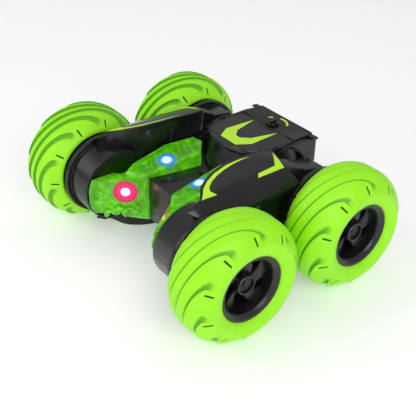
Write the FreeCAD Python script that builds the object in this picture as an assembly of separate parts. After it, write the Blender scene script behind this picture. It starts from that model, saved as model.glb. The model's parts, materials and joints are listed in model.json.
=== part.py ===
"""Double-sided radio-controlled stunt car: a centre body between two swinging wheel arms.

Millimetres. The origin is on the ground under the centre of the car, +Z up, the lamps face -X,
the battery end is +X and the car's left side is -Y. Shapes are drawn with z = 0 at axle height and
raised by the tyre radius when they are saved. The car is the same upside down, so the lower
shells and lamps mirror the upper ones, and the left side mirrors the right.
"""
import FreeCAD, Part
import math
import os

V = FreeCAD.Vector

# Wheels
TYRE_R = 40.0            # tread radius, and the height of the axles
TYRE_W = 39.0            # tyre width
TYRE_WALL = 3.4          # thickness of the rubber carcass
TYRE_CROWN_DROP = 0.28   # share of the radius that the tread loses at its shoulders
BEAD_R = 21.6            # inner radius of both beads
TRACK_Y = 81.7           # half the track, to the middle of a tyre
RIM_WALL = 1.6
RIM_INNER_LIP_R = 26.0
HUB_R = 6.5
SPOKES = 5
SPOKE_W = 4.2
SPOKE_T = 2.6
SPOKE_SET_BACK = 7.5     # spokes lie this far behind the rim's outer edge
HEX_AF = 8.0             # hexagon of the hub shaft, across flats
SCREW_R = 1.5
SCREW_HEAD_R = 2.9
SCREW_HEAD_H = 1.8
SHAFT_R = 4.0            # wheel shaft
SHAFT_STOP_OUT = 2.3     # the hub shaft ends this far beyond the middle of the tyre
WEB_T = 2.4              # web of the rim between the shaft's end and the screw's head
SHAFT_STOP_Y = TRACK_Y + SHAFT_STOP_OUT
WEB_Y1 = SHAFT_STOP_Y + WEB_T

# Fits
RUN_GAP = 0.05           # radial clearance of a running fit
PART_GAP = 0.3           # gap between neighbours that don't touch
FIT_GAP = 0.1            # gap between neighbours that nest

# Gear train in each arm: pinion, reduction gear, centre gear, idlers, wheel gears
TRAIN_MODULE = 1.0
WHEEL_TEETH = 26
IDLER_TEETH = 18
CENTRE_TEETH = 24
REDUCTION_SMALL_TEETH = 12
MOTOR_MODULE = 0.6
REDUCTION_BIG_TEETH = 36
PINION_TEETH = 10
GEAR_Y0 = 44.0           # plane of the main train
GEAR_T = 4.0
MOTOR_GEAR_Y0 = 41.6     # plane of the motor stage
MOTOR_GEAR_T = 2.0
REDUCTION_X = 7.8        # the reduction gear stands this far behind the pivot
PIN_R = 1.5
# Half the wheelbase, which the train sets
AXLE_X = TRAIN_MODULE * (WHEEL_TEETH + 2 * IDLER_TEETH + CENTRE_TEETH) / 2

# Motor
MOTOR_W = 12.0
MOTOR_H = 10.0
MOTOR_L = 10.5
MOTOR_Z = 18.9
MOTOR_SHAFT_R = 0.75
MOTOR_Y0 = MOTOR_GEAR_Y0 + MOTOR_GEAR_T + PART_GAP

# Gearbox case in each arm
CASE_Y0 = 39.6
CASE_Y1 = 49.0
CASE_T = 1.6
CASE_DRUM_R = 22.4
CASE_HALF_H = 18.4
TOWER_X0 = -14.6         # raised part of the case, round the motor stage
TOWER_X1 = 21.4
TOWER_Z = 29.4
COVER_T = 1.6
BUSH_R = 6.0             # brass bushes of the wheel shafts
BUSH_T = 3.2

# Arm shells
DRUM_R = 24.5
DRUM_Y0 = 38.0
DRUM_Y1 = 58.0
DRUM_WINDOW_R = 17.5     # opening in the inner face of each drum
SHELL_T = 1.8
FLANGE_R = 28.0          # dust flange behind each wheel
FLANGE_T = 2.2
SILL_Y = 37.6
SILL_Z = 20.3
CREASE_Y = 51.4
CREASE_Z = 31.9
OUTER_Y = 58.0
OUTER_Z = 23.5
# Inner top edge of the hump: x, y and z from its front corner to its rear end
HUMP_EDGE = [(-42.3, 50.6, 32.2), (-36.6, 43.4, 34.8), (-31.2, 40.1, 36.2), (-23.5, 36.7, 37.2),
             (-12.4, 34.3, 38.0), (-1.6, 33.6, 38.0), (7.9, 33.6, 37.2), (16.6, 34.4, 36.2),
             (24.0, 36.0, 35.2)]
# Side profile of the tail behind the hump: x and z
TAIL = [(20.0, 17.0), (22.0, 33.6), (33.0, 31.0), (36.0, 28.0), (54.0, 24.6), (54.0, 17.0)]
TAIL_Y0 = 38.0
TAIL_Y1 = 54.0
RIB_X = (-35.5, -18.4, -2.2)
RIB_W = 2.0
RIB_DROP = 6.6           # the ribs end this far below the hump's edge
RIB_STAND = 0.6
RIB_ROOT = 0.8

# Pivot between the body and the arms
PIVOT_R = 5.0
PIVOT_BORE_R = 3.0       # the motor wires run through it
PIVOT_END_Y = 43.4
PIVOT_BOSS_R = 10.0
PIVOT_BOSS_Y = 33.4      # outer face of the body's pivot boss
ARM_HUB_R = 9.0
CLIP_R = 6.4
CLIP_T = 1.0

# Centre body
CORE_HALF_H = 12.0
CORE_T = 1.8
# Half plan of the core: x and y from the nose to the rear
CORE_PLAN = [(-34.5, 0.0), (-34.5, 12.4), (-24.0, 25.0), (-20.0, 31.0), (9.0, 31.0),
             (12.0, 24.0), (56.0, 24.0), (56.0, 0.0)]
NOSE_FRONT_X = -36.3
NOSE_HALF_W = 12.5
NOSE_HALF_H = 15.6
NOSE_HOLE_R = 1.7
NOSE_HOLE_Z = 3.7
# Plan of a front lamp
LAMP_PLAN = [(-36.9, 13.4), (-67.0, 36.0), (-48.0, 36.0), (-45.0, 32.0), (-20.6, 32.0),
             (-20.6, 31.4), (-24.5, 25.4), (-34.9, 12.9)]
LAMP_R = 24.0            # the lamp's front is round about the axle, like the drum beside it
LAMP_T = 1.6
LAMP_BACK = LAMP_PLAN[:5] + LAMP_PLAN[6:]
# Plan of a top lamp
BLOCK_PLAN = [(-37.0, 13.5), (3.6, 9.7), (11.0, 18.7), (9.0, 25.8), (-10.7, 31.5),
              (-37.7, 29.0), (-46.0, 24.6)]
BLOCK_Z = 20.59          # height of its sloping top at the origin
BLOCK_RISE_X = 0.1454    # rise of the top per mm towards the rear
BLOCK_RISE_Y = 0.1328    # rise of the top per mm outwards
BLOCK_T = 1.5
LED_R = 1.5
LED_FLANGE_R = 2.0
CYAN_LED = (-18.6, 17.4)
RED_LED = (-40.4, 23.4, 3.6)
BOARD_T = 1.2

# Rear body
REAR_TOP_Z = 31.0
# Half plan of its top: x and y from the nose to the rear edge
REAR_TOP = [(11.5, 0.0), (12.0, 8.0), (13.6, 14.5), (16.5, 20.0), (21.5, 24.0), (28.0, 26.4),
            (36.0, 27.4), (46.0, 27.1), (56.0, 25.6), (69.0, 25.6), (69.8, 0.0)]
# The same outline at the core's top
REAR_FOOT = [(4.6, 0.0), (6.0, 8.0), (9.6, 14.0), (14.0, 20.0), (20.0, 24.0), (28.0, 25.0),
             (36.0, 25.4), (46.0, 25.4), (56.0, 25.4), (69.0, 25.4), (69.8, 0.0)]
REAR_T = 2.0
REAR_BOX_X0 = 57.0
REAR_BOX_Y = 29.0
REAR_BOX_X1 = 69.8
REAR_BOX_Z = 28.6
DOOR_RIM = 1.8           # width of the roof's rim round the battery door
DOOR_LEDGE = 1.8         # the rim's ledge under the door
DOOR_X1 = 51.0           # rear edge of the door
DOOR_T = 2.0
HINGE_X = 14.9
HINGE_HALF_W = 7.0
HINGE_R = 1.2
HINGE_Z = REAR_TOP_Z - HINGE_R
HINGE_PIN_R = 0.8
HINGE_PIN_L = 2.2
EAR_X1 = 17.0            # rear edge of the ears beside the hinge, which hold its pins
KNOB_X = 56.0
KNOB_R = 4.6
KNOB_H = 1.2
KNOB_Z = REAR_TOP_Z + PART_GAP
KNOB_SHAFT_R = 2.2

# What the body holds
CELL_R = 7.1
CELL_L = 41.0
CELL_X = (30.1, 44.3)
CELL_DROP = 2.2          # room between the door and the cells
BOARD_X0 = -24.0
BOARD_X1 = 8.0
BOARD_HALF_W = 19.4
BOARD_Z = 6.6
BOARD_PEG_XY = [(-20.0, 8.0), (4.0, 8.0)]
BOARD_PEG_R = 1.6
SWITCH_W = 10.0          # rotary switch under the power knob
SWITCH_H = 6.0
BODY_SCREW_XY = [(-28.0, 12.0), (-14.0, 27.0), (40.0, 19.0)]
BODY_POST_R = 2.8
BODY_SCREW_HEAD_R = 2.4
BODY_SCREW_HEAD_H = 1.4
BODY_SCREW_TOP_Z = 6.0


def box(x0, x1, y0, y1, z0, z1):
    return Part.makeBox(x1 - x0, y1 - y0, z1 - z0, V(x0, y0, z0))


def cyl_y(x, z, r, y0, y1):
    return Part.makeCylinder(r, y1 - y0, V(x, y0, z), V(0, 1, 0))


def cyl_z(x, y, r, z0, z1):
    return Part.makeCylinder(r, z1 - z0, V(x, y, z0), V(0, 0, 1))


def cyl_x(y, z, r, x0, x1):
    return Part.makeCylinder(r, x1 - x0, V(x0, y, z), V(1, 0, 0))


def prism(points, z0, z1):
    """A closed plan outline, extruded along Z."""
    loop = [V(x, y, z0) for x, y in points]
    return Part.Face(Part.makePolygon(loop + loop[:1])).extrude(V(0, 0, z1 - z0))


def prism_y(points, y0, y1):
    """A closed side outline of x and z, extruded along Y."""
    loop = [V(x, y0, z) for x, z in points]
    return Part.Face(Part.makePolygon(loop + loop[:1])).extrude(V(0, y1 - y0, 0))


def fuse(shapes):
    first, *rest = shapes
    return first.multiFuse(rest).removeSplitter() if rest else first


def mirror_y(shape):
    return shape.mirror(V(0, 0, 0), V(0, 1, 0))


def mirror_z(shape):
    return shape.mirror(V(0, 0, 0), V(0, 0, 1))


def full_plan(half):
    """Both halves of an outline that is given for y >= 0, from nose to rear."""
    other = [(x, -y) for x, y in reversed(half) if y > 0]
    return half + other


def inset(points, d):
    """The outline moved inwards by d."""
    area = sum(x0 * y1 - x1 * y0 for (x0, y0), (x1, y1) in zip(points, points[1:] + points[:1]))
    side = 1.0 if area > 0 else -1.0
    moved = []
    count = len(points)
    for i in range(count):
        before, here, after = points[i - 1], points[i], points[(i + 1) % count]
        into = unit(before, here)
        out = unit(here, after)
        n_in = (-into[1] * side, into[0] * side)
        n_out = (-out[1] * side, out[0] * side)
        k = d / max(0.3, 1 + n_in[0] * n_out[0] + n_in[1] * n_out[1])
        moved.append((here[0] + k * (n_in[0] + n_out[0]), here[1] + k * (n_in[1] + n_out[1])))
    return moved


def unit(a, b):
    length = math.hypot(b[0] - a[0], b[1] - a[1])
    return (b[0] - a[0]) / length, (b[1] - a[1]) / length


def solid_loft(loops):
    """A solid through plan outlines, each a list of points of x, y and z."""
    wires = [Part.makePolygon([V(*p) for p in loop + loop[:1]]) for loop in loops]
    return Part.makeLoft(wires, True, True)


def save(name, *shapes):
    """Write one node, raised so that the tyres stand on z = 0."""
    shape = shapes[0] if len(shapes) == 1 else Part.makeCompound(list(shapes))
    shape = shape.copy()
    shape.translate(V(0, 0, TYRE_R))
    shape.exportStep("parts/" + name + ".step")


def save_pair(name, *shapes):
    """Write a right-hand node and its mirror image on the left."""
    save(name % "right", *shapes)
    save(name % "left", *[mirror_y(s) for s in shapes])


# ---------------------------------------------------------------- gears

def gear(teeth, module, x, z, y0, thick, phase, bore):
    """Spur gear about Y; phase is the angle of one tooth, from +X towards +Z, in degrees."""
    pitch_r = teeth * module / 2
    tip_r = pitch_r + 0.85 * module
    root_r = pitch_r - 1.15 * module
    base_r = pitch_r * math.cos(math.radians(20))
    backlash = 0.07 * module / pitch_r
    half_pitch = math.pi / (2 * teeth) - backlash

    def roll(r):
        a = math.acos(min(1.0, base_r / r))
        return math.tan(a) - a

    flank = []
    for r in (root_r, max(base_r, root_r + 0.2 * module), pitch_r, tip_r):
        flank.append((r, half_pitch + roll(pitch_r) - roll(r)))
    points = []
    for i in range(teeth):
        middle = math.radians(phase) + 2 * math.pi * i / teeth
        for r, half in flank:
            points.append((r, middle - half))
        for r, half in reversed(flank):
            points.append((r, middle + half))
    outline = [(x + r * math.cos(a), z + r * math.sin(a)) for r, a in points]
    body = prism_y(outline, y0, y0 + thick)
    return body.cut(cyl_y(x, z, bore, y0 - 1, y0 + thick + 1)) if bore else body


def mesh_phase(teeth_a, phase_a, heading, teeth_b):
    """Phase of gear b so that it meshes with gear a, which sees b at the heading."""
    pitch_a, pitch_b = 360.0 / teeth_a, 360.0 / teeth_b
    share = ((heading - phase_a) / pitch_a) % 1.0
    return heading + 180.0 + (share - 0.5) * pitch_b


IDLER_PITCH_R = IDLER_TEETH * TRAIN_MODULE / 2
CENTRE_PITCH_R = CENTRE_TEETH * TRAIN_MODULE / 2
SMALL_PITCH_R = REDUCTION_SMALL_TEETH * TRAIN_MODULE / 2
BIG_PITCH_R = REDUCTION_BIG_TEETH * MOTOR_MODULE / 2
PINION_PITCH_R = PINION_TEETH * MOTOR_MODULE / 2
IDLER_X = CENTRE_PITCH_R + IDLER_PITCH_R
REDUCTION_Z = math.sqrt((CENTRE_PITCH_R + SMALL_PITCH_R) ** 2 - REDUCTION_X ** 2)
MOTOR_X = REDUCTION_X - math.sqrt((BIG_PITCH_R + PINION_PITCH_R) ** 2
                                  - (MOTOR_Z - REDUCTION_Z) ** 2)
CENTRE_PHASE = 180.0 / CENTRE_TEETH


def build_gears():
    small_heading = math.degrees(math.atan2(REDUCTION_Z, REDUCTION_X))
    small_phase = mesh_phase(CENTRE_TEETH, CENTRE_PHASE, small_heading, REDUCTION_SMALL_TEETH)
    motor_heading = math.degrees(math.atan2(MOTOR_Z - REDUCTION_Z, MOTOR_X - REDUCTION_X))
    pinion_phase = mesh_phase(REDUCTION_BIG_TEETH, 0.0, motor_heading, PINION_TEETH)
    bore = PIN_R + RUN_GAP
    centre = gear(CENTRE_TEETH, TRAIN_MODULE, 0, 0, GEAR_Y0, GEAR_T, CENTRE_PHASE, bore)
    save_pair("arm_%s_centre_gear", centre)
    for end, sign in (("front", -1), ("rear", 1)):
        phase = mesh_phase(CENTRE_TEETH, CENTRE_PHASE, 90 - 90 * sign, IDLER_TEETH)
        idler = gear(IDLER_TEETH, TRAIN_MODULE, sign * IDLER_X, 0, GEAR_Y0, GEAR_T, phase, bore)
        save_pair("arm_%s_idler_" + end, idler)
    small = gear(REDUCTION_SMALL_TEETH, TRAIN_MODULE, REDUCTION_X, REDUCTION_Z,
                 GEAR_Y0 - 0.4, GEAR_T + 0.4, small_phase, 0)
    big = gear(REDUCTION_BIG_TEETH, MOTOR_MODULE, REDUCTION_X, REDUCTION_Z,
               MOTOR_GEAR_Y0, MOTOR_GEAR_T, 0.0, 0)
    hole = cyl_y(REDUCTION_X, REDUCTION_Z, bore, CASE_Y0, CASE_Y1)
    save_pair("arm_%s_reduction_gear", fuse([small, big]).cut(hole))
    pinion = gear(PINION_TEETH, MOTOR_MODULE, MOTOR_X, MOTOR_Z,
                  MOTOR_GEAR_Y0, MOTOR_GEAR_T, pinion_phase, MOTOR_SHAFT_R)
    shaft = cyl_y(MOTOR_X, MOTOR_Z, MOTOR_SHAFT_R, MOTOR_GEAR_Y0, MOTOR_Y0 + 6)
    save_pair("arm_%s_motor_pinion", pinion, shaft)


def motor_block(gap):
    """The flat-sided motor can, grown by a gap all round."""
    round_part = cyl_y(MOTOR_X, MOTOR_Z, MOTOR_W / 2 + gap, MOTOR_Y0, MOTOR_Y0 + MOTOR_L)
    flat = box(MOTOR_X - MOTOR_W, MOTOR_X + MOTOR_W, MOTOR_Y0 - 1, MOTOR_Y0 + MOTOR_L + 1,
               MOTOR_Z - MOTOR_H / 2 - gap, MOTOR_Z + MOTOR_H / 2 + gap)
    return round_part.common(flat)


def build_motor():
    bore = cyl_y(MOTOR_X, MOTOR_Z, MOTOR_SHAFT_R + RUN_GAP, MOTOR_Y0 - 1, MOTOR_Y0 + 7)
    terminals = [box(MOTOR_X + s - 0.8, MOTOR_X + s + 0.8, MOTOR_Y0 + MOTOR_L,
                     MOTOR_Y0 + MOTOR_L + 0.5, MOTOR_Z - 1.4, MOTOR_Z + 1.4) for s in (-3.4, 3.4)]
    save_pair("arm_%s_motor", fuse([motor_block(0)] + terminals).cut(bore))


# ---------------------------------------------------------------- wheels

def revolve_y(points):
    """Turn a closed outline of y and radius about the Y axis."""
    loop = [V(r, y, 0) for y, r in points]
    return Part.Face(Part.makePolygon(loop + loop[:1])).revolve(V(0, 0, 0), V(0, 1, 0), 360)


def tread(y, half, radius):
    """Radius of the tyre's crowned outside at y from its middle."""
    return radius * (1 - TYRE_CROWN_DROP * abs(y / half) ** 3)


def tyre():
    half = TYRE_W / 2
    lip = half - 3.6
    bead_out = half - 2.0
    outer = [(-lip, BEAD_R), (-lip, RIM_INNER_LIP_R + 0.4), (-half + 0.5, RIM_INNER_LIP_R + 1.2)]
    for step in range(-12, 13):
        y = half * step / 12
        outer.append((y, tread(y, half, TYRE_R)))
    outer += [(half - 0.4, 25.6), (bead_out, BEAD_R)]
    inner_half = half - TYRE_WALL - 1.2
    inner = [(bead_out - 2.4, BEAD_R), (inner_half, 25.0)]
    for step in range(12, -13, -2):
        y = inner_half * step / 12
        inner.append((y, tread(y, inner_half, TYRE_R - TYRE_WALL)))
    inner += [(-inner_half, 25.0), (-lip + 1.6, 24.0), (-lip + 1.6, BEAD_R)]
    return revolve_y(outer + inner)


def rim():
    half = TYRE_W / 2
    inner_end = -(half - 3.6)
    outer_end = half - 3.2
    barrel_in = BEAD_R - RIM_WALL
    section = [(inner_end - 1.8, barrel_in), (inner_end - 1.8, RIM_INNER_LIP_R),
               (inner_end, RIM_INNER_LIP_R), (inner_end, BEAD_R), (outer_end, BEAD_R),
               (outer_end, BEAD_R - 2.6), (outer_end - 2.4, barrel_in)]
    face_y = outer_end - SPOKE_SET_BACK
    hub = cyl_y(0, 0, HUB_R, -15.0, face_y + 3.0)
    parts = [revolve_y(section), hub]
    for i in range(SPOKES):
        spoke = box(HUB_R - 1.5, barrel_in + 0.4, face_y - SPOKE_T, face_y,
                    -SPOKE_W / 2, SPOKE_W / 2)
        spoke.rotate(V(0, 0, 0), V(0, 1, 0), 90 + 360.0 / SPOKES * i)
        parts.append(spoke)
    socket = hexagon(HEX_AF + 2 * RUN_GAP, -16.0, SHAFT_STOP_Y - TRACK_Y)
    recess = cyl_y(0, 0, SCREW_HEAD_R + 0.4, WEB_Y1 - TRACK_Y, half)
    hole = cyl_y(0, 0, SCREW_R + RUN_GAP, 0, half)
    return fuse(parts).cut(fuse([socket, recess, hole]))


def hexagon(across_flats, y0, y1):
    r = across_flats / math.sqrt(3)
    corners = [(r * math.cos(math.radians(60 * i)), r * math.sin(math.radians(60 * i)))
               for i in range(6)]
    return prism_y(corners, y0, y1)


def hub_shaft(x):
    """Wheel gear, shaft and hexagon, moulded in one; the screw bites in its bore."""
    sign = 1 if x > 0 else -1
    idler_phase = mesh_phase(CENTRE_TEETH, CENTRE_PHASE, 90 - 90 * sign, IDLER_TEETH)
    phase = mesh_phase(IDLER_TEETH, idler_phase, 90 - 90 * sign, WHEEL_TEETH)
    teeth = gear(WHEEL_TEETH, TRAIN_MODULE, x, 0, GEAR_Y0, GEAR_T, phase, 0)
    shaft = cyl_y(x, 0, SHAFT_R, CASE_Y0, DRUM_Y1 + FLANGE_T + 1.6)
    drive = hexagon(HEX_AF, DRUM_Y1 + FLANGE_T + 1.6, SHAFT_STOP_Y)
    drive.translate(V(x, 0, 0))
    bore = cyl_y(x, 0, SCREW_R, SHAFT_STOP_Y - 16, SHAFT_STOP_Y + 1)
    return fuse([teeth, shaft, drive]).cut(bore)


def wheel_screw():
    shank = cyl_y(0, 0, SCREW_R, SHAFT_STOP_Y - 15, WEB_Y1 + 0.2)
    head = cyl_y(0, 0, SCREW_HEAD_R, WEB_Y1, WEB_Y1 + SCREW_HEAD_H)
    slots = [box(-2.0, 2.0, WEB_Y1 + 0.8, WEB_Y1 + 3, -0.4, 0.4),
             box(-0.4, 0.4, WEB_Y1 + 0.8, WEB_Y1 + 3, -2.0, 2.0)]
    return fuse([shank, head]).cut(fuse(slots))


def build_wheels():
    for end, x in (("front", -AXLE_X), ("rear", AXLE_X)):
        for name, shape, y in (("tyre", tyre(), TRACK_Y), ("rim", rim(), TRACK_Y),
                               ("wheel_screw", wheel_screw(), 0)):
            placed = shape.copy()
            placed.translate(V(x, y, 0))
            save_pair("%s_%s" % (name, end) + "_%s", placed)
        save_pair("hub_shaft_%s" % end + "_%s", hub_shaft(x))


# ---------------------------------------------------------------- arms

def hump(inside):
    """The hood over the arm, or the hollow inside it, as a loft through cross sections."""
    t = SHELL_T if inside else 0.0
    stations = list(HUMP_EDGE)
    first, last = stations[0], stations[-1]
    if inside:
        stations[0] = (first[0] + t, first[1] - 2.0, first[2] + 0.6)
        stations[-1] = (last[0] - t, last[1], last[2])
    floor = SILL_Z - (1.0 if inside else 0.0)
    loops = []
    for x, y, z in stations:
        loops.append([(x, SILL_Y + t, floor), (x, min(y, CREASE_Y - 0.8) + t, z - 1.3 * t),
                      (x, CREASE_Y - 0.35 * t + 0.01, CREASE_Z - 1.2 * t),
                      (x, OUTER_Y - t, OUTER_Z - 0.6 * t), (x, OUTER_Y - t, floor)])
    return solid_loft(loops)


def case_outline(grow):
    """Side view of the gearbox case as a solid between two y, grown by a gap."""
    def shape(y0, y1):
        parts = [cyl_y(x, 0, CASE_DRUM_R + grow, y0, y1) for x in (-AXLE_X, AXLE_X)]
        half_h = CASE_HALF_H + grow
        parts.append(box(-AXLE_X, AXLE_X, y0, y1, -half_h, half_h))
        parts.append(box(TOWER_X0 - grow, TOWER_X1 + grow, y0, y1, 0, TOWER_Z + grow))
        return fuse(parts)
    return shape


def arm_upper_shell():
    case_room = case_outline(FIT_GAP)(CASE_Y0, CASE_Y1 + COVER_T + FIT_GAP)
    outer = [hump(False), prism_y(TAIL, TAIL_Y0, TAIL_Y1)]
    inner = [hump(True), case_room]
    tail_hole = [(x + (3 if x < 30 else -3), z - 2) for x, z in TAIL]
    inner.append(prism_y(tail_hole, TAIL_Y0 + SHELL_T, TAIL_Y1 - SHELL_T))
    for x in (-AXLE_X, AXLE_X):
        outer.append(cyl_y(x, 0, DRUM_R, DRUM_Y0, DRUM_Y1))
        outer.append(cyl_y(x, 0, FLANGE_R, DRUM_Y1 - 0.4, DRUM_Y1 + FLANGE_T))
        inner.append(cyl_y(x, 0, DRUM_R - SHELL_T, CASE_Y0, DRUM_Y1 - SHELL_T))
        inner.append(cyl_y(x, 0, DRUM_WINDOW_R, DRUM_Y0 - 1, DRUM_Y0 + SHELL_T))
        inner.append(cyl_y(x, 0, BUSH_R, DRUM_Y1 - SHELL_T - 1, DRUM_Y1 + FLANGE_T + 1))
    shell = fuse(outer).cut(fuse(inner))
    upper = shell.common(box(-90, 90, 0, 90, 0, 60))
    return fuse([upper] + [wall_rib(x) for x in RIB_X])


def wall_rib(x):
    """Short rib that stands on the hump's inner wall and follows its lean."""
    edge_y, edge_z = hump_edge_at(x)
    top_z = edge_z - RIB_DROP
    top_y = edge_y + (SILL_Y - edge_y) * RIB_DROP / (edge_z - SILL_Z)
    foot_z = SILL_Z + 0.5
    side = [(SILL_Y - RIB_STAND, foot_z), (SILL_Y + RIB_ROOT, foot_z), (top_y + RIB_ROOT, top_z),
            (top_y - RIB_STAND, top_z - 1.0)]
    loop = [V(x - RIB_W / 2, y, z) for y, z in side]
    return Part.Face(Part.makePolygon(loop + loop[:1])).extrude(V(RIB_W, 0, 0))


def hump_edge_at(x):
    """The hump's inner edge at x, by straight lines between its stations."""
    for (x0, y0, z0), (x1, y1, z1) in zip(HUMP_EDGE, HUMP_EDGE[1:]):
        if x0 <= x <= x1:
            k = (x - x0) / (x1 - x0)
            return y0 + k * (y1 - y0), z0 + k * (z1 - z0)
    raise ValueError("x lies off the hump")


def gearbox_case():
    outer = case_outline(0.0)(CASE_Y0, CASE_Y1)
    hollow = case_outline(-CASE_T)(CASE_Y0 + CASE_T, CASE_Y1 + 1)
    hub = cyl_y(0, 0, ARM_HUB_R, PIVOT_BOSS_Y + PART_GAP, CASE_Y0 + CASE_T)
    cuts = [hollow, cyl_y(0, 0, PIVOT_R + RUN_GAP, PIVOT_BOSS_Y - 1, CASE_Y1)]
    for x in (-AXLE_X, AXLE_X):
        cuts.append(cyl_y(x, 0, BUSH_R, CASE_Y0 - 1, CASE_Y0 + CASE_T + 1))
    for x, z in ((-IDLER_X, 0), (IDLER_X, 0), (REDUCTION_X, REDUCTION_Z)):
        cuts.append(cyl_y(x, z, PIN_R, CASE_Y0 + 0.6, CASE_Y1))
    return fuse([outer, hub]).cut(fuse(cuts))


def gearbox_cover():
    plate = case_outline(0.0)(CASE_Y1, CASE_Y1 + COVER_T)
    cuts = [motor_block(FIT_GAP)]
    for x, z in PIN_PLACES:
        cuts.append(cyl_y(x, z, PIN_R, CASE_Y1 - 1, CASE_Y1 + 1.0))
    for x in (-AXLE_X, AXLE_X):
        cuts.append(cyl_y(x, 0, SHAFT_R + PART_GAP, CASE_Y1 - 1, CASE_Y1 + COVER_T + 1))
    return plate.cut(fuse(cuts))


PIN_PLACES = ((0.0, 0.0), (-IDLER_X, 0.0), (IDLER_X, 0.0), (REDUCTION_X, REDUCTION_Z))


def build_arms():
    shell = arm_upper_shell()
    save_pair("arm_%s_upper_shell", shell)
    save_pair("arm_%s_lower_shell", mirror_z(shell))
    save_pair("arm_%s_gearbox_case", gearbox_case())
    save_pair("arm_%s_gearbox_cover", gearbox_cover())
    pins = [cyl_y(0, 0, PIN_R, PIVOT_END_Y + PART_GAP, CASE_Y1 + 1.0)]
    pins += [cyl_y(x, z, PIN_R, CASE_Y0 + 0.6, CASE_Y1 + 1.0) for x, z in PIN_PLACES[1:]]
    save_pair("arm_%s_gear_pins", *pins)
    bushes = []
    for x in (-AXLE_X, AXLE_X):
        for y0, y1 in ((CASE_Y0, CASE_Y0 + BUSH_T), (DRUM_Y1 - SHELL_T, DRUM_Y1 + FLANGE_T)):
            ring = cyl_y(x, 0, BUSH_R, y0, y1).cut(cyl_y(x, 0, SHAFT_R + RUN_GAP, y0 - 1, y1 + 1))
            bushes.append(ring)
    save_pair("arm_%s_bushes", *bushes)


# ---------------------------------------------------------------- pivot

def build_pivot():
    shaft = cyl_y(0, 0, PIVOT_R, -PIVOT_END_Y, PIVOT_END_Y)
    bore = cyl_y(0, 0, PIVOT_BORE_R, -PIVOT_END_Y - 1, PIVOT_END_Y + 1)
    save("pivot_shaft", shaft.cut(bore))
    y0 = CASE_Y0 + CASE_T + PART_GAP
    clip = cyl_y(0, 0, CLIP_R, y0, y0 + CLIP_T).cut(cyl_y(0, 0, PIVOT_R, y0 - 1, y0 + CLIP_T + 1))
    save("pivot_clips", clip, mirror_y(clip))


# ---------------------------------------------------------------- centre body

def core_upper_shell():
    plan = full_plan(CORE_PLAN)
    shell = prism(plan, 0, CORE_HALF_H)
    boss = cyl_y(0, 0, PIVOT_BOSS_R, 20, PIVOT_BOSS_Y)
    bosses = fuse([boss, mirror_y(boss)]).common(box(-60, 60, -60, 60, 0, CORE_HALF_H))
    hollow = prism(inset(plan, CORE_T), -1, CORE_HALF_H - CORE_T)
    posts = []
    for x, y in BODY_SCREW_XY:
        posts += [cyl_z(x, s * y, BODY_POST_R, 0, CORE_HALF_H - CORE_T) for s in (-1, 1)]
    for x, y in BOARD_PEG_XY:
        posts += [cyl_z(x, s * y, BOARD_PEG_R, BOARD_Z + BOARD_T, CORE_HALF_H - CORE_T)
                  for s in (-1, 1)]
    body = fuse([shell.cut(hollow), bosses] + posts)
    holes = [cyl_y(0, 0, PIVOT_R, -60, 60)]
    for x, y in BODY_SCREW_XY:
        holes += [cyl_z(x, s * y, SCREW_R, -1, CORE_HALF_H - CORE_T - 1) for s in (-1, 1)]
    for s in (-1, 1):
        holes.append(cyl_z(CYAN_LED[0], s * CYAN_LED[1], LED_R, 8, CORE_HALF_H + 1))
    return body.cut(fuse(holes))


def nose_cap():
    plate = box(NOSE_FRONT_X, CORE_PLAN[0][0], -NOSE_HALF_W, NOSE_HALF_W, -NOSE_HALF_H, NOSE_HALF_H)
    hood = box(CORE_PLAN[0][0], -12.0, -8.6, 8.6, CORE_HALF_H, CORE_HALF_H + 1.6)
    hole = cyl_x(0, NOSE_HOLE_Z, NOSE_HOLE_R, NOSE_FRONT_X - 1, CORE_PLAN[0][0] + 1)
    return fuse([plate, hood, mirror_z(hood)]).cut(hole)


# The lamp's hollow ends in a plain corner at the back


def front_lamp():
    drum = cyl_y(-AXLE_X, 0, LAMP_R, 0, 60).common(box(-80, -AXLE_X, 0, 60, -40, 40))
    drum = fuse([drum, box(-AXLE_X, 0, 0, 60, -40, 40)])
    outer = prism(LAMP_PLAN, -CORE_HALF_H, CORE_HALF_H).common(drum)
    hollow = prism(inset(LAMP_BACK, LAMP_T), -CORE_HALF_H + LAMP_T, CORE_HALF_H - LAMP_T)
    inner_drum = cyl_y(-AXLE_X, 0, LAMP_R - LAMP_T, 0, 60)
    inner_drum = fuse([inner_drum, box(-AXLE_X, 0, 0, 60, -40, 40)])
    return outer.cut(hollow.common(inner_drum))


def block_top(drop):
    """Everything under the sloping top plane of a top lamp, less a drop."""
    x0, x1, y1 = -60.0, 20.0, 40.0
    def height(x, y):
        return BLOCK_Z + BLOCK_RISE_X * x + BLOCK_RISE_Y * y - drop
    low = [(x0, 0, 0), (x1, 0, 0), (x1, y1, 0), (x0, y1, 0)]
    high = [(x, y, height(x, y)) for x, y, _ in low]
    return solid_loft([low, high])


def top_lamp():
    outer = prism(BLOCK_PLAN, CORE_HALF_H, 40).common(block_top(0.0))
    hollow = prism(inset(BLOCK_PLAN, BLOCK_T), CORE_HALF_H - 1, 40).common(block_top(BLOCK_T))
    return outer.cut(hollow)


def led(length):
    """A lamp along Z with its flange at 0 and a domed tip."""
    body = cyl_z(0, 0, LED_R, 0, length - LED_R)
    dome = Part.makeSphere(LED_R, V(0, 0, length - LED_R))
    flange = cyl_z(0, 0, LED_FLANGE_R, 0, 0.8)
    return fuse([body, dome, flange])


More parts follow.
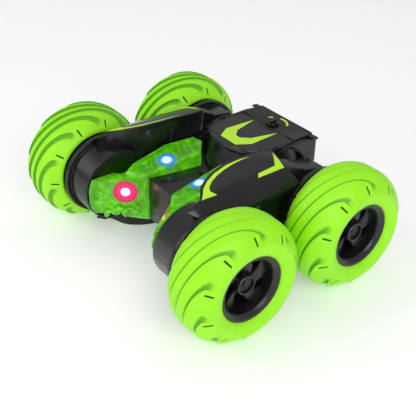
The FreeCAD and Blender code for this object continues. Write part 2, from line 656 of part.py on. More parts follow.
def build_lamps():
    lamp = front_lamp()
    save("front_lamps", lamp, mirror_y(lamp))
    block = top_lamp()
    save("top_lamps", block, mirror_y(block))
    save("bottom_lamps", mirror_z(block), mirror_z(mirror_y(block)))
    cyan = led(4.6)
    cyan.translate(V(CYAN_LED[0], CYAN_LED[1], CORE_HALF_H))
    cyan = fuse([cyan, cyl_z(CYAN_LED[0], CYAN_LED[1], LED_R, CORE_HALF_H - CORE_T, CORE_HALF_H)])
    save("cyan_leds", cyan, mirror_y(cyan), mirror_z(cyan), mirror_z(mirror_y(cyan)))
    red = led(5.0)
    red.rotate(V(0, 0, 0), V(0, 1, 0), -90)
    red.translate(V(*RED_LED))
    save("red_leds", red, mirror_y(red))
    half_h = CORE_HALF_H - LAMP_T - FIT_GAP
    board = box(RED_LED[0], RED_LED[0] + BOARD_T, 0, 60, -half_h, half_h)
    board = board.common(prism(inset(LAMP_BACK, LAMP_T + PART_GAP), -half_h, half_h))
    save("light_boards", board, mirror_y(board))


def rear_outline(half, z, d):
    return [(x, y, z) for x, y in inset(full_plan(half), d)]


def rear_body():
    """The rear shell before its openings, and the room that the core takes."""
    outer = solid_loft([rear_outline(REAR_FOOT, CORE_HALF_H, 0),
                        rear_outline(REAR_TOP, REAR_TOP_Z, 0)])
    box_plan = full_plan([(REAR_BOX_X0, 0), (REAR_BOX_X0, 24.6), (REAR_BOX_X0 + 3, REAR_BOX_Y),
                          (REAR_BOX_X1, REAR_BOX_Y), (REAR_BOX_X1, 0)])
    tub = prism(box_plan, 0, REAR_BOX_Z)
    hollow = solid_loft([rear_outline(REAR_FOOT, CORE_HALF_H - 1, REAR_T),
                         rear_outline(REAR_TOP, REAR_TOP_Z - REAR_T, DOOR_RIM + DOOR_LEDGE)])
    tub_hollow = prism(inset(box_plan, REAR_T), -1, REAR_BOX_Z - REAR_T)
    return fuse([outer, tub]).cut(fuse([hollow, tub_hollow])), prism(full_plan(CORE_PLAN), -1,
                                                                     CORE_HALF_H)


def door_plate(d, z0, z1):
    """The roof inside its rim and in front of the door's rear edge, moved in by d."""
    plan = inset(full_plan(REAR_TOP), DOOR_RIM + d)
    return prism(plan, z0, z1).common(box(0, DOOR_X1 - d + PART_GAP, -40, 40, z0, z1))


def beside_hinge(side, grow):
    """Space on one side of the hinge, in front of the door's straight front edge.

    That edge dips forward as the door opens, so it keeps twice the gap from the ears.
    """
    y0, y1 = sorted((side * (HINGE_HALF_W + PART_GAP - grow), side * 30.0))
    return box(0, EAR_X1 + 2 * grow, y0, y1, HINGE_Z - 2.4, REAR_TOP_Z)


def build_rear():
    shell, core_room = rear_body()
    inside = door_plate(-PART_GAP, HINGE_Z - 2.4, REAR_TOP_Z)
    ears = [beside_hinge(side, 0).common(inside) for side in (-1, 1)]
    opening = door_plate(0, REAR_TOP_Z - DOOR_T, REAR_TOP_Z + 1)
    barrel_room = cyl_y(HINGE_X, HINGE_Z, HINGE_R + 2 * PART_GAP, -HINGE_HALF_W - PART_GAP,
                        HINGE_HALF_W + PART_GAP)
    pin_end = HINGE_HALF_W + HINGE_PIN_L + FIT_GAP
    pockets = cyl_y(HINGE_X, HINGE_Z, HINGE_PIN_R + RUN_GAP, -pin_end, pin_end)
    knob_hole = cyl_z(KNOB_X, 0, KNOB_SHAFT_R + RUN_GAP, REAR_TOP_Z - REAR_T - 1, REAR_TOP_Z + 1)
    upper = fuse([shell.cut(fuse([opening, barrel_room]))] + ears)
    save("rear_upper_shell", upper.cut(fuse([pockets, knob_hole, core_room])))
    save("rear_lower_shell", mirror_z(shell).cut(mirror_z(core_room)))
    save("battery_door", battery_door())
    save("power_knob", power_knob())
    save("power_switch", power_switch())


def battery_door():
    """Lid over the cells, hinged on two stub pins at its front edge."""
    plate = door_plate(PART_GAP, REAR_TOP_Z - DOOR_T, REAR_TOP_Z)
    front = box(0, HINGE_X, -HINGE_HALF_W - 1, HINGE_HALF_W + 1, REAR_TOP_Z - DOOR_T,
                REAR_TOP_Z)
    notches = [beside_hinge(side, PART_GAP) for side in (-1, 1)]
    barrel = cyl_y(HINGE_X, HINGE_Z, HINGE_R, -HINGE_HALF_W, HINGE_HALF_W)
    pin_end = HINGE_HALF_W + HINGE_PIN_L
    pins = cyl_y(HINGE_X, HINGE_Z, HINGE_PIN_R, -pin_end, pin_end)
    return fuse([plate.cut(fuse([front] + notches)), barrel, pins])


def power_knob():
    """Round knob with a grip bar, on a shaft that reaches into the switch."""
    knob = cyl_z(KNOB_X, 0, KNOB_R, KNOB_Z, KNOB_Z + KNOB_H)
    grip = box(KNOB_X - KNOB_R + 0.8, KNOB_X + KNOB_R - 0.8, -0.9, 0.9,
               KNOB_Z + KNOB_H - 0.2, KNOB_Z + KNOB_H + 1.2)
    shaft = cyl_z(KNOB_X, 0, KNOB_SHAFT_R, REAR_TOP_Z - REAR_T - SWITCH_H / 2, KNOB_Z + 0.1)
    return fuse([knob, grip, shaft])


def power_switch():
    top = REAR_TOP_Z - REAR_T
    case = box(KNOB_X - SWITCH_W / 2, KNOB_X + SWITCH_W / 2, -SWITCH_W / 2, SWITCH_W / 2,
               top - SWITCH_H, top)
    bore = cyl_z(KNOB_X, 0, KNOB_SHAFT_R + RUN_GAP, top - SWITCH_H / 2 - PART_GAP, top + 1)
    return case.cut(bore)


def build_contents():
    cell_z = REAR_TOP_Z - DOOR_T - CELL_DROP - CELL_R
    cells = [cyl_y(x, cell_z, CELL_R, -CELL_L / 2, CELL_L / 2) for x in CELL_X]
    save("battery_pack", *cells)
    board = box(BOARD_X0, BOARD_X1, -BOARD_HALF_W, BOARD_HALF_W, BOARD_Z, BOARD_Z + BOARD_T)
    room = prism(inset(full_plan(CORE_PLAN), CORE_T + PART_GAP), 0, CORE_HALF_H)
    save("main_board", board.common(room))
    screws = []
    for x, y in BODY_SCREW_XY:
        for s in (-1, 1):
            seat = -CORE_HALF_H + CORE_T
            shank = cyl_z(x, s * y, SCREW_R, seat, BODY_SCREW_TOP_Z)
            head = cyl_z(x, s * y, BODY_SCREW_HEAD_R, seat - BODY_SCREW_HEAD_H, seat)
            screws.append(fuse([shank, head]))
    save("body_screws", *screws)


def core_lower_shell(upper):
    holes = []
    for x, y in BODY_SCREW_XY:
        for s in (-1, 1):
            holes.append(cyl_z(x, s * y, SCREW_R, -CORE_HALF_H - 1, 1))
            holes.append(cyl_z(x, s * y, BODY_SCREW_HEAD_R, -CORE_HALF_H - 1,
                               -CORE_HALF_H + CORE_T))
    return mirror_z(upper).cut(fuse(holes))


def build_core():
    upper = core_upper_shell()
    save("core_upper_shell", upper)
    save("core_lower_shell", core_lower_shell(upper))
    save("nose_cap", nose_cap())


os.makedirs("parts", exist_ok=True)
build_wheels()
build_gears()
build_motor()
build_arms()
build_pivot()
build_core()
build_lamps()
build_rear()
build_contents()
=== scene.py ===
"""Radio-controlled stunt car with two faces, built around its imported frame.

Lengths in the making are millimetres from the middle of the car at axle height, -X to the lamps,
+Y to the car's right; at() turns them into metres in the frame. Right-hand pieces are made first
and copied to the left, and upper ones to the underside.
"""

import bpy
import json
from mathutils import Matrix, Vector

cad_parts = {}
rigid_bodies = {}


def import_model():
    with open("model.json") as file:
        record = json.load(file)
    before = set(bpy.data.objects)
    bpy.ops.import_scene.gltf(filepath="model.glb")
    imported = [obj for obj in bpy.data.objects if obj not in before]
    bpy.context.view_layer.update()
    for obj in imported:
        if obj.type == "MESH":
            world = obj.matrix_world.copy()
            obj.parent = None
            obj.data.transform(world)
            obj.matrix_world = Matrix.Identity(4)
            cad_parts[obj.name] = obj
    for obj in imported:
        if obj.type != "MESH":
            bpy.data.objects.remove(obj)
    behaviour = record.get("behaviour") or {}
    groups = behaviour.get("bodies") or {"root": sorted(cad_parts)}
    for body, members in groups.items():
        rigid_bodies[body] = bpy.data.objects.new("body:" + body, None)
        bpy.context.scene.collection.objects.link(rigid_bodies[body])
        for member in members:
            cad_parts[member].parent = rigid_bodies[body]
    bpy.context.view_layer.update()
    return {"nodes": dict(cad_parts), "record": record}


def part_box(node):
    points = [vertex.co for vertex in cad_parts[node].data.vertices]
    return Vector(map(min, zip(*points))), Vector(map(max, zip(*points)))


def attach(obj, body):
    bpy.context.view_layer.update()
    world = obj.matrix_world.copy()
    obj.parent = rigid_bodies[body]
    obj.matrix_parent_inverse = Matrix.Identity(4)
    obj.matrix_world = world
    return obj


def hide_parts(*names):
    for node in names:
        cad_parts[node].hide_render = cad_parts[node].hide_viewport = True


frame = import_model()

import json
import math

import bmesh
import bpy
from bpy.props import FloatProperty, FloatVectorProperty, IntProperty, PointerProperty
from bpy.types import Operator, Panel, PropertyGroup
from mathutils import Matrix, Quaternion, Vector
from mathutils.kdtree import KDTree

bl_info = {
    "name": "Stunt Car Maker",
    "version": (1, 0, 0),
    "blender": (4, 5, 0),
    "location": "3D View > Sidebar > Stunt Car",
    "description": "Builds the tyres, wheels, shells, lamps and markings of a two-faced stunt car",
    "category": "Object",
}

MM = 0.001
TYRE_LOW, TYRE_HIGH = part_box("tyre_front_right")
AXLE_Z = (TYRE_LOW.z + TYRE_HIGH.z) / 2
AXLE_X = -(TYRE_LOW.x + TYRE_HIGH.x) / 2 / MM     # half the wheelbase
TRACK_Y = (TYRE_LOW.y + TYRE_HIGH.y) / 2 / MM     # middle of a tyre
TYRE_HALF_W = (TYRE_HIGH.y - TYRE_LOW.y) / 2 / MM
TYRE_R = (TYRE_HIGH.z - TYRE_LOW.z) / 2 / MM
SIDES = ("right", "left")
LEVELS = ("upper", "lower")
ENDS = (("front", -1), ("rear", 1))


# ---------------------------------------------------------------- sizes and colours

def length(name, description, default):
    return FloatProperty(name=name, description=description, default=default * MM,
                         unit="LENGTH", subtype="DISTANCE")


def tint(name, description, default):
    return FloatVectorProperty(name=name, description=description, default=default,
                               subtype="COLOR", size=3, min=0.0, max=1.0)


class STUNT_sizes(PropertyGroup):
    lugs: IntProperty(name="Lugs", description="Tread blades round a tyre", default=10, min=4)
    lug_depth: length("Lug depth", "Step at the edge of a tread blade", 1.9)
    lug_sweep: FloatProperty(name="Lug sweep", description="Turn of a blade over half the tread",
                             default=math.radians(62), unit="ROTATION", subtype="ANGLE")
    slit_depth: length("Slit depth", "Depth of the slit at the end of each blade", 2.2)
    spokes: IntProperty(name="Spokes", description="Blades of a wheel", default=5, min=3)
    shell_wall: length("Shell wall", "Thickness of the moulded shells", 1.6)


class STUNT_colours(PropertyGroup):
    rubber: tint("Rubber", "Lime rubber of the tyres", (0.335, 0.875, 0.006))
    # Painted shade: the darker rubber colour laid in the grooves, for the shade that falls in
    # them.
    groove: tint("Groove", "Rubber in the grooves, out of the light", (0.125, 0.44, 0.003))
    shell: tint("Shell", "Black moulded shells", (0.009, 0.009, 0.010))
    wheel: tint("Wheel", "Black wheels", (0.010, 0.010, 0.011))
    clear: tint("Lamp", "Clear green of the lamps", (0.17, 0.72, 0.010))
    smoked: tint("Gearbox", "Dark tinted green of the gearboxes", (0.010, 0.040, 0.002))
    marking: tint("Marking", "Printed yellow-green markings", (0.50, 0.86, 0.022))


def sizes():
    return bpy.context.scene.stunt_sizes


def colours():
    return bpy.context.scene.stunt_colours


# ---------------------------------------------------------------- modelling by hand

def at(x, y, z):
    """A point in metres, from millimetres about the middle of the car at axle height."""
    return Vector((x * MM, y * MM, z * MM + AXLE_Z))


def leave():
    """Go back to object mode with nothing selected."""
    if bpy.context.object and bpy.context.object.mode != "OBJECT":
        bpy.ops.object.mode_set(mode="OBJECT")
    bpy.ops.object.select_all(action="DESELECT")


def choose(piece):
    """Make a piece the only one selected, and the active one."""
    leave()
    piece.select_set(True)
    bpy.context.view_layer.objects.active = piece


def begin(name):
    """Start an empty mesh in edit mode."""
    leave()
    bpy.ops.mesh.primitive_plane_add(size=MM)
    piece = bpy.context.object
    piece.name = piece.data.name = name
    bpy.ops.object.mode_set(mode="EDIT")
    bpy.ops.mesh.select_mode(type="VERT")
    bpy.ops.mesh.delete(type="VERT")
    return piece


def pick(kind, test):
    """In edit mode, select just the vertices, edges or faces that pass the test."""
    bpy.ops.mesh.select_mode(type=kind)
    bpy.ops.mesh.select_all(action="DESELECT")
    mesh = bpy.context.edit_object.data
    bm = bmesh.from_edit_mesh(mesh)
    found = {"VERT": bm.verts, "EDGE": bm.edges, "FACE": bm.faces}[kind]
    for part in found:
        if test(part):
            part.select_set(True)
    bm.select_flush_mode()
    bmesh.update_edit_mesh(mesh)


def pick_points(points):
    """Select the vertices that lie on the points."""
    tree = KDTree(len(points))
    for i, p in enumerate(points):
        tree.insert(p, i)
    tree.balance()
    pick("VERT", lambda v: tree.find(v.co)[2] < 2e-6)


def line(points, closed=False):
    """Draw vertices from point to point."""
    bpy.ops.mesh.select_all(action="DESELECT")
    bpy.ops.mesh.primitive_plane_add(size=MM, location=points[0])
    bpy.ops.mesh.merge(type="CENTER")
    for a, b in zip(points, points[1:]):
        bpy.ops.mesh.extrude_vertices_move(TRANSFORM_OT_translate={"value": b - a})
    if closed:
        pick_points([points[0], points[-1]])
        bpy.ops.mesh.edge_face_add()


def skin(rows, closed=False):
    """Draw every row of points as a line, then bridge each line to the next."""
    for row in rows:
        line(row, closed)
    for low, high in zip(rows, rows[1:]):
        pick_points(list(low) + list(high))
        bpy.ops.mesh.bridge_edge_loops()


def slab(outline, move):
    """Fill an outline and extrude it."""
    line(outline)
    bpy.ops.mesh.select_linked()
    bpy.ops.mesh.edge_face_add()
    bpy.ops.mesh.extrude_region_move(TRANSFORM_OT_translate={"value": move})


def lathe(section, centre, steps, angle=2 * math.pi, axis=(0, 1, 0), closed=False):
    """Turn a line of points about an axis through the centre."""
    line(section, closed)
    bpy.ops.mesh.select_linked()
    bpy.ops.mesh.spin(steps=steps, angle=angle, center=centre, axis=axis)


def repeat(count, centre):
    """Copy what is selected to so many places round an axle."""
    bpy.ops.mesh.spin(steps=count - 1, angle=2 * math.pi * (count - 1) / count, dupli=True,
                      center=centre, axis=(0, 1, 0))


def outwards():
    """Merge doubles and point every face outwards."""
    bpy.ops.mesh.select_all(action="SELECT")
    bpy.ops.mesh.remove_doubles(threshold=2e-6)
    bpy.ops.mesh.normals_make_consistent(inside=False)


def modify(piece, kind, **settings):
    """Add a modifier to the piece and apply it."""
    choose(piece)
    bpy.ops.object.modifier_add(type=kind)
    modifier = piece.modifiers[-1]
    for key, value in settings.items():
        setattr(modifier, key, value)
    bpy.ops.object.modifier_apply(modifier=modifier.name)


def soften(piece, width, segments=2, angle=32):
    """Round the moulded edges."""
    modify(piece, "BEVEL", width=width * MM, segments=segments, limit_method="ANGLE",
           angle_limit=math.radians(angle), miter_outer="MITER_ARC")


def moulding(name, outline, move, width, segments=2, angle=30):
    """A block made of an outline that is filled, extruded and rounded at its edges."""
    piece = begin(name)
    slab(outline, move)
    outwards()
    soften(piece, width, segments, angle)
    return piece


def copied(piece, name):
    """A copy of the piece with its own mesh."""
    choose(piece)
    bpy.ops.object.duplicate()
    other = bpy.context.object
    other.name = other.data.name = name
    return other


def edit_all(piece):
    """Open a piece in edit mode with all of it selected."""
    choose(piece)
    bpy.ops.object.mode_set(mode="EDIT")
    bpy.ops.mesh.select_all(action="SELECT")


def moved(piece, name, x=0.0, y=0.0, z=0.0):
    """A copy that is shifted by so many millimetres."""
    other = copied(piece, name)
    edit_all(other)
    bpy.ops.transform.translate(value=(x * MM, y * MM, z * MM))
    leave()
    return other


def mirrored(piece, name, axis):
    """A copy on the other side of the car (Y) or of the axle plane (Z), faces outwards again."""
    other = copied(piece, name)
    edit_all(other)
    bpy.ops.transform.resize(value=[-1 if letter == axis else 1 for letter in "XYZ"],
                             center_override=(0, 0, AXLE_Z))
    bpy.ops.mesh.flip_normals()
    leave()
    return other


def turned(piece, side, level):
    """The upper right piece itself, or its copy on the left, on the underside or on both."""
    name = piece.name.replace("upper_right", level + "_" + side)
    other = mirrored(piece, name, "Y") if side == "left" else piece
    if level == "lower":
        upper = other
        other = mirrored(upper, name, "Z")
        if upper is not piece:
            bpy.data.objects.remove(upper)
        other.name = other.data.name = name
    return other


def joined(piece, *others):
    """Join other meshes into the piece."""
    leave()
    for other in (piece, *others):
        other.select_set(True)
    bpy.context.view_layer.objects.active = piece
    bpy.ops.object.join()
    return piece


def smooth(piece, angle=35):
    """Shade a piece smooth, except at edges sharper than the angle in degrees."""
    choose(piece)
    bpy.ops.object.shade_smooth_by_angle(angle=math.radians(angle))


def finish_of(name):
    """The finish of that name, which isn't the plain material of the frame's slot."""
    return bpy.data.materials["finish_" + name]


def coat(piece, finish):
    """Give a piece one finish, in place of any that it has."""
    piece.data.materials.clear()
    piece.data.materials.append(finish_of(finish))


def hang(piece, body, finish):
    """Coat a piece and hang it on the body that it rides on."""
    leave()
    coat(piece, finish)
    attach(piece, body)


def dress(piece, body, slot, node, finish=None):
    """Hang a finished piece on its body, with its slot and the node it stands for."""
    hang(piece, body, finish or slot)
    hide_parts(node)


# ---------------------------------------------------------------- finishes

CYAN_AT = (-18.6, 17.4, 20.4)    # places of the lit lamps
RED_AT = (-48.7, 20.8, 4.4)


class Finish:
    """A procedural finish on one shader; numbers that are the same all over sit on its sockets."""

    def __init__(self, name, colour, rough, **sockets):
        self.material = bpy.data.materials.new("finish_" + name)
        self.material.use_nodes = True
        self.tree = self.material.node_tree
        self.shader = self.tree.nodes["Principled BSDF"]
        self.place = self.node("TexCoord").outputs["Object"]
        self.shader.inputs["Base Color"].default_value = (*colour, 1)
        self.shader.inputs["Roughness"].default_value = rough
        for key, value in sockets.items():
            self.shader.inputs[key.replace("_", " ")].default_value = value

    def node(self, kind, **settings):
        made = self.tree.nodes.new("ShaderNode" + kind)
        for key, value in settings.items():
            setattr(made, key, value)
        return made

    def link(self, out, socket):
        self.tree.links.new(out, socket)

    def noise(self, scale, detail=3.0):
        made = self.node("TexNoise")
        made.inputs["Scale"].default_value = scale
        made.inputs["Detail"].default_value = detail
        self.link(self.place, made.inputs["Vector"])
        return made.outputs["Fac"]

    def spread(self, value, low, high, from_low=0.3, from_high=0.7):
        made = self.node("MapRange")
        made.inputs["From Min"].default_value = from_low
        made.inputs["From Max"].default_value = from_high
        made.inputs["To Min"].default_value = low
        made.inputs["To Max"].default_value = high
        self.link(value, made.inputs["Value"])
        return made.outputs["Result"]

    def blend(self, share, first, second):
        """Mix two colours, each a colour or the output of a node."""
        made = self.node("Mix", data_type="RGBA")
        self.link(share, made.inputs["Factor"])
        for socket, colour in ((made.inputs[6], first), (made.inputs[7], second)):
            if isinstance(colour, bpy.types.NodeSocket):
                self.link(colour, socket)
            else:
                socket.default_value = (*colour, 1)
        return made.outputs[2]

    def colour(self, out):
        self.link(out, self.shader.inputs["Base Color"])

    def rough(self, out, low, high):
        self.link(self.spread(out, low, high), self.shader.inputs["Roughness"])

    def uneven(self, colour, shift=0.12, scale=60.0, rough=(0.3, 0.4), rough_scale=140.0):
        """Slight drift in the colour, and handling marks in the gloss."""
        darker = [c * (1 - shift) for c in colour]
        lighter = [min(1.0, c * (1 + shift)) for c in colour]
        self.colour(self.blend(self.spread(self.noise(scale), 0, 1), darker, lighter))
        self.rough(self.noise(rough_scale, 6.0), *rough)

    def maths(self, operation, first, second):
        """One sum of a node's output and another output or a number."""
        made = self.node("Math", operation=operation)
        self.link(first, made.inputs[0])
        if isinstance(second, bpy.types.NodeSocket):
            self.link(second, made.inputs[1])
        else:
            made.inputs[1].default_value = second
        return made.outputs[0]

    def glow(self, places, halo, reach, strength):
        """Colour and strength of the lamps' light at the places, painted on the surface as
        emission: a white core and a halo.
        """
        away = None
        for place in places:
            gap = self.node("VectorMath", operation="DISTANCE")
            self.link(self.place, gap.inputs[0])
            gap.inputs[1].default_value = at(*place)
            gap = gap.outputs["Value"]
            away = self.maths("MINIMUM", away, gap) if away else gap
        near = self.spread(away, 1, 0, 0.0, reach * MM)
        tint_by_gap = self.blend(self.spread(away, 0, 1, 1.6 * MM, 3.6 * MM), (1, 1, 1), halo)
        return tint_by_gap, self.maths("MULTIPLY", self.maths("POWER", near, 2.6), strength)

    def painted_lamp_glow(self, own, share=1.0):
        """The cyan and the red lamps' light painted on the surface as emission, over an even
        painted glow of the piece's own colour where that colour isn't black.
        """
        x, y, z = CYAN_AT
        cyan = self.glow([(x, a * y, b * z) for a in (1, -1) for b in (1, -1)],
                         (0.06, 0.42, 1.0), 9.5, 3.0 * share)
        x, y, z = RED_AT
        red = self.glow([(x, a * y, z) for a in (1, -1)], (1.0, 0.0, 0.13), 11.0, 7.0 * share)
        colour = self.node("Mix", data_type="RGBA")
        self.link(self.maths("GREATER_THAN", red[1], cyan[1]), colour.inputs["Factor"])
        self.link(cyan[0], colour.inputs[6])
        self.link(red[0], colour.inputs[7])
        total = self.maths("MAXIMUM", cyan[1], red[1])
        lit = self.spread(total, 0, 1, 0.0, 0.35)
        # The lamps' light is painted on as emission, over an even painted glow in the piece's own
        # colour.
        self.link(self.blend(lit, own, colour.outputs[2]), self.shader.inputs["Emission Color"])
        self.link(self.maths("ADD", total, 0.16 if sum(own) else 0.0),
                  self.shader.inputs["Emission Strength"])
        return lit

    def raised(self, height, depth, strength):
        """Bump the surface by a node's output, depth in millimetres."""
        bump = self.node("Bump")
        bump.inputs["Strength"].default_value = strength
        bump.inputs["Distance"].default_value = depth * MM
        self.link(height, bump.inputs["Height"])
        self.link(bump.outputs["Normal"], self.shader.inputs["Normal"])

    def grain(self, scale=2600.0, depth=0.02):
        """Fine moulded grain."""
        self.raised(self.noise(scale, 2.0), depth, 0.35)

    def shines(self, colour, strength):
        """An even light of the piece's own."""
        self.shader.inputs["Emission Color"].default_value = (*colour, 1)
        self.shader.inputs["Emission Strength"].default_value = strength


def moulded(name, colour, rough, shift=0.12, depth=0.02, **sockets):
    """Moulded plastic: even colour, slight drift of the gloss and a fine grain."""
    made = Finish(name, colour, rough[0], **sockets)
    made.uneven(colour, shift=shift, rough=rough)
    made.grain(depth=depth)
    return made


def metal(name, colour, rough):
    """Turned or pressed metal with fine marks round it."""
    made = Finish(name, colour, rough[0], Metallic=1.0)
    made.uneven(colour, shift=0.08, scale=400.0, rough=rough, rough_scale=900.0)
    made.grain(scale=5200.0, depth=0.008)
    return made


def make_rubber():
    """Lime rubber, with painted shade: darker in the grooves and nearly black in the slits."""
    c = colours()
    made = Finish("tyre_rubber", c.rubber, 0.5, IOR=1.45)
    drift = made.blend(made.spread(made.noise(45.0), 0, 1), [v * 0.93 for v in c.rubber], c.rubber)
    depth = made.node("Attribute", attribute_name="groove").outputs["Fac"]
    # Painted shade: by the groove attribute, the rubber darkens towards the groove colour.
    groove_shaded = made.blend(made.spread(depth, 0, 1, 0.10, 0.85), drift, c.groove)
    # Painted shade: the slits are painted nearly black.
    made.colour(made.blend(made.spread(depth, 0, 1, 1.1, 1.9), groove_shaded, (0.012, 0.05, 0.002)))
    made.rough(made.noise(210.0, 5.0), 0.42, 0.56)
    made.grain(scale=1900.0, depth=0.03)


def make_board():
    """Circuit board: green resist, lighter over the copper runs."""
    resist = (0.01, 0.16, 0.05)
    made = Finish("board", resist, 0.4)
    brick = made.node("TexBrick")
    brick.inputs["Scale"].default_value = 260.0
    brick.inputs["Mortar Size"].default_value = 0.06
    made.link(made.place, brick.inputs["Vector"])
    share = made.spread(brick.outputs["Fac"], 0, 1, 0.2, 0.8)
    made.colour(made.blend(share, resist, (0.02, 0.30, 0.10)))
    made.rough(made.noise(300.0), 0.3, 0.5)
    made.grain(scale=900.0, depth=0.03)


def make_clear():
    """Clear green plastic over moulded optics, with the lamps' light inside it painted on as a
    glow.
    """
    c = colours()
    made = Finish("clear_green", c.clear, 0.1, Transmission_Weight=0.35, IOR=1.46)
    # The cells are real moulded optics; their colour, bright in the middle and dark at the edge
    # and broken up by noise, is painted glints and shade of light through them.
    cells = made.node("TexVoronoi", feature="SMOOTH_F1")
    cells.inputs["Scale"].default_value = 330.0
    made.link(made.place, cells.inputs["Vector"])
    share = made.maths("MULTIPLY", made.spread(cells.outputs["Distance"], 1, 0.2, 0.1, 0.75),
                       made.spread(made.noise(95.0, 2.0), 0.35, 1.0, 0.38, 0.62))
    own = made.blend(share, [v * 0.26 for v in c.clear], [min(1.0, v * 1.3) for v in c.clear])
    # Where the painted lamp light lies, the base colour is painted nearly black so that the
    # painted glow shows.
    made.colour(made.blend(made.painted_lamp_glow(c.clear), own, (0.01, 0.01, 0.01)))
    made.rough(made.noise(140.0, 5.0), 0.06, 0.18)
    made.raised(cells.outputs["Distance"], 0.35, 0.6)


def make_finishes():
    c = colours()
    make_rubber()
    moulded("black_plastic", c.shell, (0.20, 0.30), depth=0.012, IOR=1.46)
    # Nose plate: black plastic with a weaker painted glow of the lamps' light on it.
    moulded("lamp_frame", c.shell, (0.20, 0.30), IOR=1.46).painted_lamp_glow((0, 0, 0), 0.16)
    moulded("wheel_plastic", c.wheel, (0.25, 0.40), depth=0.03)
    make_clear()
    smoked = moulded("smoked_green", c.smoked, (0.16, 0.26))
    smoked.shader.inputs["Transmission Weight"].default_value = 0.25
    moulded("gear_plastic", (0.72, 0.70, 0.64), (0.36, 0.48), shift=0.04)
    metal("steel", (0.56, 0.57, 0.58), (0.2, 0.34))
    metal("brass", (0.72, 0.50, 0.20), (0.24, 0.36))
    metal("motor_steel", (0.42, 0.43, 0.45), (0.3, 0.44))
    make_board()
    moulded("cell_wrap", (0.04, 0.10, 0.42), (0.22, 0.34))
    for name, colour in (("cyan_light", (0.35, 0.9, 1.0)), ("red_light", (1.0, 0.10, 0.12))):
        lit = moulded(name, colour, (0.1, 0.2))
        lit.shines([0.55 + 0.45 * v for v in colour], 5.0)
    moulded("marking_green", c.marking, (0.34, 0.44), shift=0.03)
    moulded("dark_red", (0.07, 0.003, 0.004), (0.08, 0.16))


class STUNT_OT_finishes(Operator):
    """Make every finish, and lay the CAD nodes' own finish on each of them"""
    bl_idname = "stunt.finishes"
    bl_label = "Finishes"

    def execute(self, context):
        make_finishes()
        slots = {part["node"]: part["material_slot"] for part in frame["record"]["subparts"]}
        for name, node in frame["nodes"].items():
            coat(node, slots[name])
        return {"FINISHED"}


# ---------------------------------------------------------------- tyres and wheels

SHOULDER = 0.76      # share of half the tread where the blades turn along the axle
LUG_EDGE = 0.955     # share of a blade's pitch where its raised edge stands
SLIT_AT = 0.80       # share of the pitch where the slit is cut
# Depth of the tread over a blade's pitch: a floor, then the long back of the blade
BLADE = ((0.0, 1.0), (0.13, 0.96), (0.20, 0.55), (0.34, 0.26), (0.60, 0.08), (LUG_EDGE, 0.0))
# Depth of the grooves over half the tread's width, and where the slit lies in it
GROOVE = ((0.0, 1.0), (0.72, 1.0), (0.79, 0.72), (0.85, 0.36), (0.92, 0.14), (0.97, 0.0))
SLIT = ((0.755, 0.0), (0.77, 1.0), (0.90, 0.9), (0.955, 0.0))


def tread_top(k):
    """Radius of the crowned tread at a share k of half its width."""
    return TYRE_R * (1 - 0.29 * abs(k) ** 3)


def ramp(value, points):
    """A value read off straight lines through points."""
    for (x0, y0), (x1, y1) in zip(points, points[1:]):
        if value <= x1:
            return y0 + (y1 - y0) * max(0.0, value - x0) / (x1 - x0)
    return points[-1][1]


def tyre_rows():
    """The tyre's section from the outer bead to the inner one: y, radius, groove and slit."""
    rows = [(15.4, 20.9, 0, 0), (16.5, 21.2, 0, 0), (17.6, 22.3, 0, 0), (18.6, 24.4, 0, 0),
            (19.25, 27.0, 0, 0)]
    shares = [0.975, 0.94, 0.91, 0.88, 0.85, 0.82, 0.79, 0.76, 0.725, 0.69, 0.65, 0.58, 0.49,
              0.39, 0.27, 0.14]
    for k in shares + [0.0] + [-k for k in reversed(shares)]:
        rows.append((TYRE_HALF_W * k, tread_top(k), ramp(abs(k), GROOVE), ramp(abs(k), SLIT)))
    return rows + [(-19.25, 27.6, 0, 0), (-18.4, 26.8, 0, 0), (-16.4, 26.6, 0, 0),
                   (-15.9, 25.0, 0, 0), (-15.9, 21.4, 0, 0)]


def blade_turn(y):
    """How far round a blade has swept at y from the middle of the tread."""
    s = max(-1.0, min(1.0, y / (TYRE_HALF_W * SHOULDER)))
    return sizes().lug_sweep * (1.25 * s - 0.25 * s ** 3)


def tread_column(share, x, y):
    """One line of the tread across the tyre, at a share of the blade's pitch."""
    pitch = 2 * math.pi / sizes().lugs
    drop = sizes().lug_depth / MM * (ramp(share, BLADE) if share < 1.0 else 1.0)
    points = []
    for across, radius, groove, slit in tyre_rows():
        angle = pitch * share + blade_turn(across)
        r = radius - drop * groove
        if share == SLIT_AT:
            r -= sizes().slit_depth / MM * slit
        points.append(at(x + r * math.cos(angle), y + across, r * math.sin(angle)))
    return points


def make_tyre():
    """The front right tyre: one blade, drawn line by line and turned round the axle."""
    x, y = -AXLE_X, TRACK_Y
    piece = begin("rubber_front_right")
    shares = [0.0, 0.06, 0.13, 0.165, 0.20, 0.34, 0.55, 0.72, 0.775, SLIT_AT, 0.825, 0.88, 0.93,
              LUG_EDGE, 0.972, 1.0]
    columns = [tread_column(share, x, y) for share in shares[:-1]]
    lugs = sizes().lugs
    turn = Matrix.Rotation(-2 * math.pi / lugs, 4, "Y")
    centre = at(x, y, 0)
    columns.append([centre + turn @ (p - centre) for p in columns[0]])
    skin(columns)
    bpy.ops.mesh.select_all(action="SELECT")
    repeat(lugs, centre)
    outwards()
    modify(piece, "SUBSURF", levels=2, render_levels=2)
    mark_groove_shade(piece, centre)
    smooth(piece, 60)
    return piece


